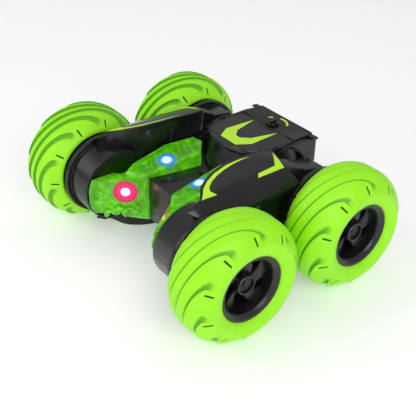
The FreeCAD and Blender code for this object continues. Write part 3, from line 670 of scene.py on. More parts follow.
def mark_groove_shade(piece, centre):
    """Keep which vertices lie in a groove or, past one, in a slit, to lay painted shade in the
    rubber's colour.
    """
    depth = piece.data.attributes.new("groove", "FLOAT", "POINT")
    pitch = 2 * math.pi / sizes().lugs
    # How far into a groove each share of the blade's pitch lies, for the painted shade.
    floor = ((0.0, 1.0), (0.13, 0.95), (0.17, 0.40), (0.24, 0.0), (0.95, 0.0), (0.965, 1.0))
    for vertex, value in zip(piece.data.vertices, depth.data):
        p = (vertex.co - centre) / MM
        k = abs(p.y) / TYRE_HALF_W
        if k > 0.97 or math.hypot(p.x, p.z) < tread_top(k) - 6.0:
            continue
        share = ((math.atan2(p.z, p.x) - blade_turn(p.y)) / pitch) % 1.0
        value.value = ramp(share, floor) * ramp(k, GROOVE)
        # A slit is marked 2.0, which the rubber paints nearly black as shade.
        if abs(share - SLIT_AT) < 0.026 and ramp(k, SLIT) > 0.35:
            value.value = 2.0


def blade_outline(x, y):
    """One curved wheel blade, from the hub round to the ring."""
    lead = [(5.6, -17), (8.5, -16), (11.5, -11), (14.5, -3), (17.6, 9)]
    trail = [(17.6, 38), (15.0, 33), (12.2, 27), (9.0, 22), (5.6, 21)]
    return [at(x + r * math.cos(math.radians(a)), y, r * math.sin(math.radians(a)))
            for r, a in lead + trail]


def make_wheel():
    """The front right wheel: a deep ring, a hub and curved blades between them."""
    x, y = -AXLE_X, TRACK_Y
    centre = at(x, y, 0)
    piece = begin("wheel_front_right")
    ring = [(-15.9, 25.6), (-15.9, 26.0), (-17.6, 26.0), (-17.7, 20.1), (5.4, 19.2), (6.2, 17.3),
            (13.2, 16.9), (14.0, 17.1), (14.9, 18.0), (15.9, 19.3), (16.3, 20.1), (16.25, 20.9),
            (15.7, 21.4), (14.4, 21.5), (-15.8, 21.5), (-15.9, 25.6)]
    lathe([at(x + r, y + a, 0) for a, r in ring], centre, 72)
    hub = [(-14.9, 4.9), (-14.9, 6.4), (11.2, 6.4), (11.7, 5.9), (11.7, 5.1), (9.6, 4.9),
           (9.0, 3.2), (8.2, 1.6), (2.4, 1.6), (2.4, 4.9), (-14.9, 4.9)]
    lathe([at(x + r, y + a, 0) for a, r in hub], centre, 40)
    outwards()
    blade = begin("wheel_blade")
    slab(blade_outline(x, y + 9.4), Vector((0, -2.6 * MM, 0)))
    outwards()
    pick("VERT", lambda v: math.degrees(math.atan2(v.co.z - AXLE_Z, v.co.x - centre.x)) > 18)
    bpy.ops.transform.translate(value=(0, -1.7 * MM, 0))
    soften(blade, 0.5, 2)
    edit_all(blade)
    repeat(sizes().spokes, centre)
    leave()
    joined(piece, blade)
    smooth(piece)
    return piece


def place_wheels(piece, node, slot):
    """Copy a front right wheel part to all four corners, and hang each on its wheel."""
    for side in SIDES:
        for end, sign in ENDS:
            name = piece.name.replace("front_right", end + "_" + side)
            other = piece
            if side == "left":
                other = mirrored(piece, name, "Y")
            if sign > 0:
                shifted = moved(other, name + "_moved", x=2 * AXLE_X)
                if side == "left":
                    bpy.data.objects.remove(other)
                other = shifted
                other.name = other.data.name = name
            dress(other, "wheel_%s_%s" % (end, side), slot, "%s_%s_%s" % (node, end, side))


class STUNT_OT_tyres(Operator):
    """Make the lime tyres with their swept tread blades"""
    bl_idname = "stunt.tyres"
    bl_label = "Tyres"

    def execute(self, context):
        piece = make_tyre()
        for side in SIDES:
            for end, sign in ENDS:
                name = "rubber_%s_%s" % (end, side)
                other = piece
                if (end, side) != ("front", "right"):
                    other = copied(piece, name)
                    edit_all(other)
                    if side == "left":     # the same moulding, turned to face outwards
                        bpy.ops.transform.resize(value=(-1, -1, 1),
                                                 center_override=at(-AXLE_X, TRACK_Y, 0))
                    across = 0 if side == "right" else -2 * TRACK_Y * MM
                    bpy.ops.transform.translate(value=((AXLE_X * (sign + 1)) * MM, across, 0))
                    leave()
                dress(other, "wheel_%s_%s" % (end, side), "tyre_rubber",
                      "tyre_%s_%s" % (end, side))
        return {"FINISHED"}


class STUNT_OT_wheels(Operator):
    """Make the black wheels with their curved blades"""
    bl_idname = "stunt.wheels"
    bl_label = "Wheels"

    def execute(self, context):
        place_wheels(make_wheel(), "rim", "wheel_plastic")
        return {"FINISHED"}


# ---------------------------------------------------------------- arms

# The hood's inner top edge: x, y and z from its front corner to its rear end
HOOD_EDGE = [(-47.5, 50.4, 31.1), (-42.3, 50.6, 32.2), (-36.6, 43.4, 34.8), (-31.2, 40.1, 36.2),
             (-23.5, 36.7, 37.2), (-12.4, 34.3, 38.0), (-1.6, 33.6, 38.0), (7.9, 33.6, 37.2),
             (16.6, 34.4, 36.2), (24.0, 36.0, 35.2)]
CREASE = (51.4, 31.9)    # y and z of the fold along the hood's back
OUTER = (58.0, 23.5)     # y and z of its outer edge
SILL_Z = 20.3            # foot of its inner wall
# Side outline of the tail behind the hood
TAIL = [(21.0, 17.5), (22.5, 32.9), (31.5, 30.9), (32.6, 29.6), (36.5, 28.7), (37.6, 26.9),
        (52.5, 24.2), (55.5, 21.5), (55.5, 17.5)]


def curve_at(points, share):
    """A point on a smooth curve through the points, at a share of its run."""
    place = share * (len(points) - 1)
    i = min(int(place), len(points) - 2)
    t = place - i
    a, b, c, d = [Vector(points[max(0, min(len(points) - 1, i + k))]) for k in (-1, 0, 1, 2)]
    return 0.5 * (2 * b + (c - a) * t + (2 * a - 5 * b + 4 * c - d) * t ** 2
                  + (3 * b - a - 3 * c + d) * t ** 3)


def hood_row(share):
    """Section of the hood at a share of its length, from the wall's foot over to the underside."""
    edge = curve_at(HOOD_EDGE, share)
    x = edge.x
    foot_y = 37.7 + max(0.0, -20.0 - x) * 0.53
    foot_z = SILL_Z + max(0.0, -36.0 - x) * 0.3
    wall = (x, max(foot_y, edge.y - 0.5), foot_z)
    front = max(0.0, 1 - share / 0.18)
    rear = max(0.0, (share - 0.86) / 0.14)
    crease = (x - 4.5 * front - 3.9 * rear, CREASE[0] - 0.6 * front, CREASE[1] - 2.0 * front)
    outer_x = x + 3.0 * front + 2.0 * rear
    middle = [(a + b) / 2 for a, b in zip(edge, crease)]
    return [at(*wall), at(*edge), at(middle[0], middle[1], middle[2] + 0.5), at(*crease),
            at((crease[0] + outer_x) / 2, 55.0, 28.2 - front), at(outer_x, *OUTER),
            at(outer_x, OUTER[0] - 0.3, 20.8), at(outer_x, 51.0, 19.8)]


def make_hood(name):
    """The moulded hood over the arm, with its leaning inner wall."""
    piece = begin(name)
    rows = [hood_row(i / 26) for i in range(27)]
    skin(rows)
    for row in (rows[0], rows[-1]):
        pick_points(row)
        bpy.ops.mesh.edge_face_add()
    outwards()
    modify(piece, "SOLIDIFY", thickness=sizes().shell_wall, offset=-1.0)
    soften(piece, 0.55, 3, 25)
    return piece


def make_drum(x):
    """Half of a drum with its inner band and its dust flange, and its ends closed."""
    piece = begin("drum")
    section = [(38.4, 17.6), (37.9, 18.0), (37.9, 22.9), (37.4, 23.3), (37.4, 24.2), (37.8, 24.6),
               (56.9, 24.6), (57.2, 25.3), (56.6, 25.8), (56.4, 27.5), (56.8, 28.0), (59.7, 28.0),
               (60.1, 27.5), (60.1, 6.3), (58.4, 6.3), (58.4, 22.9), (39.6, 22.9), (39.6, 17.6)]
    lathe([at(x + r, y, 0.05) for y, r in section], at(x, 0, 0.05), 44, -math.pi, closed=True)
    for sign in (1, -1):
        pick("EDGE", lambda e: e.is_boundary and all(
            abs(v.co.z - AXLE_Z) < 0.4 * MM and (v.co.x - x * MM) * sign > 0 for v in e.verts))
        bpy.ops.mesh.edge_face_add()
    outwards()
    soften(piece, 0.25, 2, 30)
    return piece


def make_tail():
    """Stepped block behind the hood, narrower along its outer top edge."""
    piece = begin("tail")
    slab([at(x, 39.2, z) for x, z in TAIL], Vector((0, 15.4 * MM, 0)))
    outwards()
    pick("VERT", lambda v: v.co.y > 50 * MM and v.co.z > AXLE_Z + 26 * MM)
    bpy.ops.transform.translate(value=(0, -2.4 * MM, -0.6 * MM))
    soften(piece, 0.7, 3, 20)
    return piece


def make_sill():
    """Rail under the hood's inner wall, from drum to drum, and the shelf behind it."""
    piece = begin("sill")
    outline = [(-34.0, 16.9), (-32.0, 19.0), (-29.5, SILL_Z), (31.0, SILL_Z), (34.0, 17.6),
               (34.0, 16.0), (-34.0, 16.0)]
    slab([at(x, 37.5, z) for x, z in outline], Vector((0, 2.2 * MM, 0)))
    slab([at(x, y, SILL_Z - 1.2) for x, y in
          ((-42.0, 38.3), (-44.0, 51.5), (-20.0, 51.5), (-19.0, 39.0))], Vector((0, 0, 1.2 * MM)))
    outwards()
    soften(piece, 0.4, 2, 25)
    return piece


def make_rib(x):
    """Short rounded rib on the inner wall, leaning with it."""
    share = min((i / 200 for i in range(201)), key=lambda t: abs(curve_at(HOOD_EDGE, t).x - x))
    foot, edge = hood_row(share)[:2]
    top = foot + (edge - foot) * 0.60
    piece = begin("rib")
    bpy.ops.mesh.primitive_cylinder_add(vertices=16, radius=1.2 * MM, depth=1.0,
                                        location=(0, 0, 0))
    low, high = foot + Vector((0, -0.9 * MM, -0.2 * MM)), top + Vector((0, -0.9 * MM, 0))
    for sign, end in ((-1, low), (1, high)):
        pick("VERT", lambda v: v.co.z * sign > 0.2)
        bpy.ops.transform.translate(value=end - Vector((0, 0, sign * 0.5)))
    soften(piece, 0.6, 3, 40)
    return piece


def plan_patch(name, outlines, surface, lift):
    """Flat outlines cut from thin film, laid down on a surface from above."""
    piece = begin(name)
    for outline in outlines:
        line([at(x, y, 60) for x, y in outline])
        bpy.ops.mesh.select_linked()
        bpy.ops.mesh.edge_face_add()
    bpy.ops.mesh.select_all(action="SELECT")
    bpy.ops.mesh.quads_convert_to_tris()
    for _ in range(4):
        bpy.ops.mesh.subdivide(number_cuts=1)
    outwards()
    pick("FACE", lambda f: f.normal.z < 0)
    bpy.ops.mesh.flip_normals()
    modify(piece, "SHRINKWRAP", target=surface, wrap_method="PROJECT", use_project_z=True,
           use_positive_direction=False, use_negative_direction=True, offset=lift * MM)
    return piece


SWOOSH = [(-42.6, 51.0), (-41.2, 49.8), (-36.4, 44.4), (-31.2, 40.9), (-23.6, 37.5), (-12.4, 35.0),
          (-1.6, 34.3), (6.6, 34.6), (-1.4, 35.3), (-9.0, 36.3), (-16.0, 37.7), (-22.6, 39.6),
          (-28.2, 42.0), (-32.6, 45.0), (-34.4, 48.0), (-31.8, 51.4)]
CHEVRON = [(23.4, 36.6), (20.3, 51.1), (-0.6, 51.2), (1.6, 48.6), (15.6, 47.6)]


class STUNT_OT_arms(Operator):
    """Make the wheel arms: hoods, drums, flanges, tails, ribs and printed markings"""
    bl_idname = "stunt.arms"
    bl_label = "Wheel arms"

    def execute(self, context):
        hood = make_hood("hood_upper_right")
        marks = plan_patch("markings_upper_right", [SWOOSH, CHEVRON], hood, 0.12)
        others = [make_drum(-AXLE_X), make_drum(AXLE_X), make_tail(), make_sill()]
        others += [make_rib(x) for x in (-33.6, -18.4, -2.2)]
        joined(hood, *others)
        smooth(hood)
        smooth(marks, 60)
        for side in SIDES:
            for level in LEVELS:
                dress(turned(hood, side, level), "arm_" + side, "black_plastic",
                      "arm_%s_%s_shell" % (side, level))
        for side in SIDES:
            for level in LEVELS:
                hang(turned(marks, side, level), "arm_" + side, "marking_green")
        return {"FINISHED"}


# ---------------------------------------------------------------- rear body

ROOF_Z = 31.0                   # rim of the roof
RIM_STEP = 0.25
ROOF_FLAT_Z = ROOF_Z - RIM_STEP   # the roof inside its rim
KNOB_X = 56.0
# Half outline of the roof: x and y from the nose round to the straight sides
ROOF = [(11.5, 0.0), (11.9, 6.0), (13.1, 12.6), (16.2, 19.6), (21.5, 24.2), (28.0, 26.4),
        (36.0, 27.4), (46.0, 27.1), (56.0, 25.7)]
# The same at the foot of the wall
FOOT = [(4.6, 0.0), (5.6, 6.0), (8.8, 12.6), (13.8, 19.6), (20.0, 24.0), (28.0, 25.2),
        (36.0, 25.4), (46.0, 25.4), (56.0, 25.4)]
REAR_X = 69.6
SEAM_X = 51.2         # rear edge of the battery door
LID_X = 17.5          # its front edge, apart from the hinge tab
TAB_X = 13.9
TAB_HALF_W = 7.1
LID_INSET = 1.8       # from the roof's outline to the door's
# Side outline of a flank's plate
SIDE_PANEL = [(39.0, 29.9), (45.8, 27.6), (51.0, 24.9), (55.3, 21.6), (58.6, 17.6), (60.2, 12.0),
              (60.8, 0.05), (69.7, 0.05), (69.7, 27.4), (68.4, 28.8), (57.0, 30.1)]


def half_plan(points, steps=20):
    """A smooth half outline, closed off square behind."""
    run = [curve_at([(x, y, 0) for x, y in points], i / steps) for i in range(steps + 1)]
    side = run[-1].y
    return [(p.x, p.y) for p in run] + [(60.0, side), (65.0, side), (REAR_X - 1.0, side - 0.2),
                                        (REAR_X, side - 1.4), (REAR_X, 14.0), (REAR_X, 0.0)]


def drawn_in(half, d):
    """A half outline moved in by d; it bulges outwards, so each point moves along its bisector."""
    moved_in = []
    for i, (x, y) in enumerate(half):
        before = half[i - 1] if i else (x, -1.0)
        after = half[i + 1] if i + 1 < len(half) else (x, -1.0)
        along = Vector((after[0] - before[0], after[1] - before[1])).normalized()
        moved_in.append((x + along.y * d, max(0.0, y - along.x * d)))
    moved_in[0] = (half[0][0] + d, 0.0)
    moved_in[-1] = (half[-1][0] - d, 0.0)
    return moved_in


def whole_loop(half, z):
    """Both halves of an outline at one height."""
    other = [(x, -y) for x, y in reversed(half[1:-1])]
    return [at(x, y, z) for x, y in half + other]


def lid_outline(d, z):
    """Outline of the battery door, drawn in by d from the edge of its opening."""
    half = [(x, y) for x, y in drawn_in(half_plan(ROOF), LID_INSET + d)
            if LID_X + d < x < SEAM_X - 1.0]
    front, back = half[0], half[-1]
    front_y = front[1] - (front[0] - LID_X - d) * 0.8
    half = [(TAB_X + d, 0.0), (TAB_X + d, TAB_HALF_W - d), (LID_X + d, TAB_HALF_W - d),
            (LID_X + d, front_y)] + half + [(SEAM_X - d, back[1] - 0.3), (SEAM_X - d, 0.0)]
    return whole_loop(half, z)


def shell_rows():
    """Outlines of the rear shell, from the leaning wall's foot up to the roof's rim."""
    roof, foot = half_plan(ROOF), half_plan(FOOT)
    rows = []
    for i, (t, z) in enumerate(((0.0, 12.1), (0.35, 18.6), (0.7, 25.2), (0.86, 28.2))):
        half = [(a + (c - a) * t, b + (d - b) * t) for (a, b), (c, d) in zip(foot, roof)]
        rows.append(whole_loop(drawn_in(half, 0.3 + 0.5 * i / 3), z))
    return rows + [whole_loop(drawn_in(roof, d), z)
                   for d, z in ((0.0, 28.7), (0.0, 30.5), (0.5, ROOF_Z))]


def make_rear_shell(level):
    """Half of the rear body, roof up; the upper one has the opening for the battery door."""
    piece = begin("rear_shell_" + level)
    rows = shell_rows()
    skin(rows, closed=True)
    pick_points(rows[-1])
    bpy.ops.mesh.edge_face_add()
    bpy.ops.mesh.inset(thickness=1.05 * MM)
    bpy.ops.mesh.inset(thickness=0.25 * MM)
    bpy.ops.transform.translate(value=(0, 0, -RIM_STEP * MM))
    if level == "upper":
        bpy.ops.mesh.delete(type="ONLY_FACE")
        opening = lid_outline(0.0, ROOF_FLAT_Z)
        line(opening, closed=True)
        pick("EDGE", lambda e: len(e.link_faces) < 2 and e.verts[0].co.z > AXLE_Z + 30 * MM)
        bpy.ops.mesh.fill()
        pick_points(opening)
        bpy.ops.mesh.extrude_edges_move(TRANSFORM_OT_translate={"value": (0, 0, -1.6 * MM)})
    outwards()
    rim = max(bmesh.from_edit_mesh(piece.data).faces, key=lambda f: f.calc_center_median().z)
    if rim.normal.z < 0:
        bpy.ops.mesh.flip_normals()
    modify(piece, "SOLIDIFY", thickness=1.2 * MM, offset=-1.0)
    soften(piece, 0.2, 2, 28)
    plan = [(57.0, 0.0), (57.0, 23.0), (59.5, 28.6), (REAR_X, 28.6), (REAR_X, 0.0)]
    others = [moulding("tub", whole_loop(plan, 0.05), Vector((0, 0, 28.2 * MM)), 0.8, 3, 25)]
    lip = ((64.5, 29.3), (69.7, 28.0), (69.7, 29.6), (68.6, 30.3), (64.5, 30.6))
    for side in (1, -1):
        others += [moulding("side_panel", [at(x, side * 26.2, z) for x, z in SIDE_PANEL],
                            Vector((0, side * 2.8 * MM, 0)), 0.6, 3, 25),
                   moulding("rear_lip", [at(x, side * 25.0, z) for x, z in lip],
                            Vector((0, side * 5.6 * MM, 0)), 0.35, 2, 25)]
    joined(piece, *others)
    smooth(piece)
    return piece


def make_lid():
    """The battery door with its hinge barrel, and a raised grip for the thumb at the seam."""
    piece = begin("battery_lid")
    slab(lid_outline(0.28, ROOF_Z - 2.0), Vector((0, 0, (2.0 - RIM_STEP) * MM)))
    outwards()
    pick("FACE", lambda f: f.normal.z > 0.9)
    bpy.ops.mesh.inset(thickness=0.5 * MM)
    soften(piece, 0.25, 2, 30)
    barrel = begin("lid_barrel")
    bpy.ops.mesh.primitive_cylinder_add(vertices=24, radius=1.15 * MM, depth=13.8 * MM,
                                        location=at(14.9, 0, 29.7),
                                        rotation=(math.pi / 2, 0, 0))
    soften(barrel, 0.2, 2, 40)
    grip = ((49.2, -6.5), (50.6, -7.2), (50.6, 7.2), (49.2, 6.5))
    joined(piece, barrel, moulding("lid_grip", [at(x, y, ROOF_FLAT_Z - 0.05) for x, y in grip],
                                   Vector((0, 0, 0.35 * MM)), 0.15))
    smooth(piece)
    return piece


def make_knob():
    """Round power knob with a dished top and a grip bar across it."""
    piece = begin("power_knob_cap")
    section = [(0.0, 31.1), (4.2, 31.1), (4.55, 31.5), (4.5, 32.5), (4.1, 32.9), (3.5, 32.6),
               (2.6, 32.3), (0.0, 32.25)]
    lathe([at(KNOB_X + r, 0, z) for r, z in section], at(KNOB_X, 0, 0), 40, axis=(0, 0, 1))
    outwards()
    bar = ((52.4, -0.5), (53.2, -1.0), (58.4, -0.8), (59.6, 0.0), (58.4, 0.8), (53.2, 1.0),
           (52.4, 0.5))
    joined(piece, moulding("knob_bar", [at(x, y, 32.1) for x, y in bar],
                           Vector((0, 0, 1.4 * MM)), 0.3, 3))
    smooth(piece)
    return piece


def make_roof_marks():
    """Printed chevron on the battery door."""
    piece = begin("lid_chevron")
    half = [(26.2, 2.0), (31.5, 6.9), (38.0, 8.6), (50.0, 11.8), (27.0, 13.2), (17.9, 7.6)]
    ring = [at(x, y, ROOF_FLAT_Z) for x, y in half]
    ring += [at(x, -y, ROOF_FLAT_Z) for x, y in reversed(half)]
    slab(ring, Vector((0, 0, 0.14 * MM)))
    outwards()
    return piece


def make_dial_marks():
    """Printed arc and index marks round the knob."""
    piece = begin("dial_marks")
    for (r0, r1), (a0, a1) in (((9.4, 10.9), (-52, 14)), ((9.2, 10.6), (44, 62))):
        turn = [math.radians(a0 + (a1 - a0) * i / 12) for i in range(13)]
        ring = [at(KNOB_X + r * math.cos(a), r * math.sin(a), ROOF_FLAT_Z)
                for r, run in ((r0, turn), (r1, turn[::-1])) for a in run]
        slab(ring, Vector((0, 0, 0.12 * MM)))
    outwards()
    return piece


class STUNT_OT_rear(Operator):
    """Make the rear body with its roof, battery door, power knob and markings"""
    bl_idname = "stunt.rear"
    bl_label = "Rear body"

    def execute(self, context):
        dress(make_rear_shell("upper"), "body", "black_plastic", "rear_upper_shell")
        below = make_rear_shell("lower")
        edit_all(below)
        bpy.ops.transform.resize(value=(1, 1, -1), center_override=(0, 0, AXLE_Z))
        bpy.ops.mesh.flip_normals()
        dress(below, "body", "black_plastic", "rear_lower_shell")
        dress(make_lid(), "battery_door", "black_plastic", "battery_door")
        dress(make_knob(), "power_knob", "black_plastic", "power_knob")
        hang(make_roof_marks(), "battery_door", "marking_green")
        hang(make_dial_marks(), "body", "marking_green")
        return {"FINISHED"}


# ---------------------------------------------------------------- nose and lamps

# Plan of a front lamp, whose front is then rounded to LAMP_R about the front axle
LAMP_PLAN = [(-36.9, 13.4), (-66.6, 36.0), (-48.0, 36.0), (-45.0, 32.0), (-20.8, 32.0),
             (-24.5, 25.4), (-34.9, 12.9)]
LAMP_R = 24.0
EYE_Z = 3.7       # hole in the nose
# Plan of a top lamp
BLOCK = [(-37.0, 13.5), (3.6, 9.7), (11.2, 18.7), (9.0, 25.8), (-10.7, 31.3), (-37.7, 29.0),
         (-46.0, 24.6)]


def block_top(x, y):
    """Height of a top lamp's sloping top."""
    return 20.59 + 0.1454 * x + 0.1328 * abs(y)


def make_nose():
    """Front plate with chamfered edges and a lamp hole, and the dark floor behind it."""
    plate = ((-12.4, -15.5), (12.4, -15.5), (12.4, 15.5), (-12.4, 15.5))
    piece = moulding("nose_front", [at(-36.2, y, z) for y, z in plate],
                     Vector((2.2 * MM, 0, 0)), 0.7)
    floor = begin("nose_floor")
    for side in (1, -1):
        slab([at(x, y, side * z) for x, y, z in
              ((-34.2, -12.2, 15.0), (-34.2, 12.2, 15.0), (-2.0, 9.4, 12.6), (-2.0, -9.4, 12.6))],
             Vector((0, 0, -side * 1.4 * MM)))
    outwards()
    soften(floor, 0.3, 2, 30)
    collar = begin("nose_collar")
    ring = [(1.85, -35.0), (1.85, -36.3), (2.0, -36.4), (2.4, -36.4), (2.6, -36.2), (2.6, -35.0)]
    lathe([at(x, 0, EYE_Z + r) for r, x in ring], at(-35, 0, EYE_Z), 28, axis=(1, 0, 0),
          closed=True)
    outwards()
    joined(piece, floor, collar)
    smooth(piece)
    return piece


def make_nose_eye():
    """Dark red window behind the hole in the nose."""
    piece = begin("nose_eye")
    centre = at(-36.15, 0, EYE_Z)
    bpy.ops.mesh.primitive_uv_sphere_add(segments=24, ring_count=12, radius=1.9 * MM,
                                         location=centre)
    bpy.ops.transform.resize(value=(0.12, 1, 1), center_override=centre)
    smooth(piece, 80)
    return piece


def make_front_lamp():
    """Green window of a front lamp, round at the front like the drum beside it."""
    piece = begin("front_lamp_right")
    slab([at(x, y, -12.0) for x, y in LAMP_PLAN], Vector((0, 0, 24.0 * MM)))
    outwards()
    round_off = begin("drum_room")
    arc = [math.radians(90 + 180 * i / 36) for i in range(37)]
    outline = [(-AXLE_X + LAMP_R * math.cos(a), LAMP_R * math.sin(a)) for a in arc]
    slab([at(x, 0, z) for x, z in outline + [(0.0, -LAMP_R), (0.0, LAMP_R)]],
         Vector((0, 60 * MM, 0)))
    outwards()
    modify(piece, "BOOLEAN", operation="INTERSECT", object=round_off, solver="EXACT")
    bpy.data.objects.remove(round_off)
    soften(piece, 0.6, 2, 30)
    return piece


def make_lamp_fittings():
    """Screw boss, corner strip and the row of cut facets along the foot of a front lamp."""
    boss = begin("lamp_boss")
    heading = Vector((-0.61, -0.79, 0)).normalized()
    bpy.ops.mesh.primitive_cylinder_add(vertices=28, radius=3.6 * MM, depth=2.4 * MM,
                                        location=at(-62.4, 32.6, 2.0),
                                        rotation=heading.to_track_quat("Z", "Y").to_euler())
    pick("FACE", lambda f: f.normal.dot(heading) > 0.9)
    bpy.ops.mesh.inset(thickness=1.1 * MM)
    bpy.ops.mesh.extrude_region_move(TRANSFORM_OT_translate={"value": heading * -1.2 * MM})
    soften(boss, 0.35, 2, 35)
    plan = ((-37.4, 13.2), (-38.9, 14.3), (-38.4, 15.2), (-36.9, 14.2))
    strip = moulding("lamp_strip", [at(x, y, -11.0) for x, y in plan],
                     Vector((0, 0, 22.0 * MM)), 0.3)
    facets = []
    along = Vector((-29.7, 22.6, 0)).normalized()
    for i in range(15):
        facet = begin("lamp_facet")
        start = Vector((-40.5, 16.2, -9.6)) + along * (i * 1.55)
        size = 1.7 + 0.6 * math.sin(i * 2.3)
        bpy.ops.mesh.primitive_ico_sphere_add(subdivisions=1, radius=size * MM, location=at(
            start.x - 0.9, start.y - 1.0, start.z + 1.1 * math.sin(i * 1.7)))
        bpy.ops.transform.resize(value=(1.0, 1.0, 1.5), center_override=at(*start))
        leave()
        facets.append(facet)
    return [boss, strip, *facets]


def block_row(d, z=None, drop=0.0):
    """Outline of a top lamp drawn in by d, level at z or on its sloping top less a drop."""
    centre = Vector((sum(x for x, _ in BLOCK), sum(y for _, y in BLOCK))) / len(BLOCK)
    row = []
    for i, corner in enumerate(BLOCK):
        here = Vector(corner)
        before, after = Vector(BLOCK[i - 1]), Vector(BLOCK[(i + 1) % len(BLOCK)])
        into = ((before - here).normalized() + (after - here).normalized()).normalized()
        into = into if into.dot(centre - here) > 0 else -into
        turn = (before - here).angle(after - here)
        x, y = here + into * d / math.sin(turn / 2)
        row.append(at(x, y, block_top(x, y) - drop if z is None else z))
    return row


def make_top_lamp():
    """Sloping clear block with a bevelled crown, a foot rail and etched ribs."""
    piece = begin("top_lamp_upper_right")
    rows = [block_row(d, z) for d, z in ((0.0, 12.05), (0.0, 13.6), (0.6, 13.8))]
    rows += [block_row(d, drop=drop) for d, drop in
             ((0.6, 2.4), (0.1, 2.1), (0.1, 0.9), (1.0, 0.0), (1.8, 0.0), (2.0, 0.5))]
    skin(rows, closed=True)
    for row in (rows[0], rows[-1]):
        pick_points(row)
        bpy.ops.mesh.edge_face_add()
    outwards()
    soften(piece, 0.16, 2, 18)
    ribs = []
    for i in range(9):
        rib = begin("lamp_rib")
        x = -34.5 + i * 4.3
        y = 17.6 - 0.06 * (x + 37)
        plan = ((x, y), (x + 0.8, y), (x + 4.6, 26.4), (x + 3.8, 26.4))
        slab([at(*p, block_top(*p) - 0.8) for p in plan], Vector((0, 0, 0.85 * MM)))
        outwards()
        leave()
        ribs.append(rib)
    joined(piece, *ribs)
    smooth(piece, 25)
    return piece


def make_led(name, place, radius, heading):
    """Domed tip of a lamp that stands through its window."""
    piece = begin(name)
    centre = at(*place)
    bpy.ops.mesh.primitive_uv_sphere_add(segments=24, ring_count=12, radius=radius * MM,
                                         location=centre)
    bpy.ops.mesh.bisect(plane_co=centre, plane_no=heading, clear_inner=True, use_fill=False)
    pick("EDGE", lambda e: e.is_boundary)
    bpy.ops.mesh.extrude_edges_move(TRANSFORM_OT_translate={"value": Vector(heading) * -1.6 * MM})
    bpy.ops.mesh.edge_face_add()
    outwards()
    smooth(piece, 50)
    return piece


class STUNT_OT_nose(Operator):
    """Make the nose plate with its hole and dark window"""
    bl_idname = "stunt.nose"
    bl_label = "Nose"

    def execute(self, context):
        # The nose gets the lamp_frame finish, with the lamps' light painted on it as a glow.
        dress(make_nose(), "body", "black_plastic", "nose_cap", finish="lamp_frame")
        hang(make_nose_eye(), "body", "dark_red")
        return {"FINISHED"}


class STUNT_OT_lamps(Operator):
    """Make the clear green lamps and the lit tips in them"""
    bl_idname = "stunt.lamps"
    bl_label = "Lamps"

    def execute(self, context):
        front = make_front_lamp()
        joined(front, *make_lamp_fittings())
        smooth(front, 30)
        for side in SIDES:
            lamp = front if side == "right" else mirrored(front, "front_lamp_left", "Y")
            dress(lamp, "body", "clear_green", "front_lamps")
        block = make_top_lamp()
        for level, node in (("upper", "top_lamps"), ("lower", "bottom_lamps")):
            for side in SIDES:
                dress(turned(block, side, level), "body", "clear_green", node)
        self.light_tips()
        return {"FINISHED"}

    def light_tips(self):
        x, y, z = CYAN_AT
        upper = make_led("cyan_tip_upper_right", (x, y, block_top(x, y) - 0.3), 1.7, (0, 0, 1))
        joined(upper, mirrored(upper, "cyan_tip_upper_left", "Y"))
        lower = mirrored(upper, "cyan_tips_lower", "Z")
        upper.name = upper.data.name = "cyan_tips_upper"
        for piece in (upper, lower):
            dress(piece, "body", "cyan_light", "cyan_leds")
        red = make_led("red_tips", RED_AT, 1.7, Vector((-0.6, -0.8, 0)))
        joined(red, mirrored(red, "red_tip_left", "Y"))
        dress(red, "body", "red_light", "red_leds")


# ---------------------------------------------------------------- stage

class STUNT_OT_stage(Operator):
    """Set the pale floor, the soft lights and the camera"""
    bl_idname = "stunt.stage"
    bl_label = "Floor, lights and camera"

    def execute(self, context):
        make_floor()
        make_lights()
        make_camera()
        return {"FINISHED"}


def make_floor():
    """A wide pale floor that gives a little light of its own."""
    leave()
    bpy.ops.mesh.primitive_plane_add(size=6.0, location=(0, 0, 0))
    floor = bpy.context.object
    floor.name = "floor"
    pale = moulded("pale_floor", (0.80, 0.80, 0.80), (0.6, 0.7), shift=0.01)
    pale.shines((1, 1, 1), 0.30)
    floor.data.materials.append(pale.material)


def make_lights():
    """White surroundings and three soft lights that face the middle of the car."""
    world = bpy.data.worlds.new("studio")
    bpy.context.scene.world = world
    world.use_nodes = True
    sky = world.node_tree.nodes["Background"]
    sky.inputs["Color"].default_value = (1, 1, 1, 1)
    sky.inputs["Strength"].default_value = 0.50
    for name, place, size, power in (("key", (-0.35, -0.85, 0.70), 0.7, 5.4),
                                     ("fill", (-0.85, 0.35, 0.7), 0.8, 3.4),
                                     ("top", (0.25, 0.2, 1.1), 0.9, 0.9)):
        bpy.ops.object.light_add(type="AREA", location=place)
        light = bpy.context.object
        light.name = name
        light.data.size = size
        light.data.energy = power
        aim = Vector((0, 0, 0.04)) - Vector(place)
        light.rotation_euler = aim.to_track_quat("-Z", "Y").to_euler()


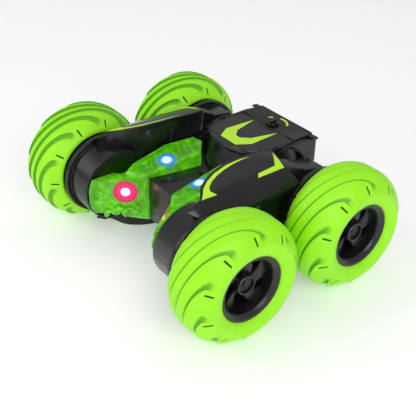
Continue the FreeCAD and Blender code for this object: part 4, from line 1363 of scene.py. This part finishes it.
AZIMUTH, ELEVATION, ROLL = math.radians(-38.21), math.radians(32.06), math.radians(1.06)
DISTANCE = 532.8     # from the middle of the car


def make_camera():
    """The main camera, which looks at the car from above its front left."""
    back = Vector((math.sin(AZIMUTH) * math.cos(ELEVATION),
                   -math.cos(AZIMUTH) * math.cos(ELEVATION), math.sin(ELEVATION)))
    bpy.ops.object.camera_add(location=at(*(back * DISTANCE)))
    camera = bpy.context.object
    camera.name = "camera"
    camera.rotation_mode = "QUATERNION"
    camera.rotation_quaternion = back.to_track_quat("Z", "Y") @ Quaternion((0, 0, 1), ROLL)
    camera.data.sensor_width = 36.0
    camera.data.lens = 70.27
    camera.data.shift_x = 0.00625
    camera.data.shift_y = -0.0459
    bpy.context.scene.camera = camera
    bpy.context.scene.view_settings.view_transform = "Standard"


# ---------------------------------------------------------------- panel and running

STEPS = ("finishes", "tyres", "wheels", "arms", "rear", "nose", "lamps", "stage")


class STUNT_PT_panel(Panel):
    """Lists the sizes, the colours and the makers of the stunt car"""
    bl_idname = "STUNT_PT_panel"
    bl_label = "Stunt Car"
    bl_space_type = "VIEW_3D"
    bl_region_type = "UI"
    bl_category = "Stunt Car"

    def draw(self, context):
        for group in (context.scene.stunt_sizes, context.scene.stunt_colours):
            box = self.layout.box()
            for key in group.__annotations__:
                box.prop(group, key)
        for step in STEPS:
            self.layout.operator("stunt." + step)


CLASSES = (STUNT_sizes, STUNT_colours, STUNT_OT_finishes, STUNT_OT_tyres, STUNT_OT_wheels,
           STUNT_OT_arms, STUNT_OT_rear, STUNT_OT_nose, STUNT_OT_lamps, STUNT_OT_stage,
           STUNT_PT_panel)


def register():
    for made in CLASSES:
        bpy.utils.register_class(made)
    bpy.types.Scene.stunt_sizes = PointerProperty(type=STUNT_sizes)
    bpy.types.Scene.stunt_colours = PointerProperty(type=STUNT_colours)


def unregister():
    del bpy.types.Scene.stunt_colours
    del bpy.types.Scene.stunt_sizes
    for made in reversed(CLASSES):
        bpy.utils.unregister_class(made)


def main():
    register()
    for step in STEPS:
        getattr(bpy.ops.stunt, step)()


if __name__ == "__main__":
    main()
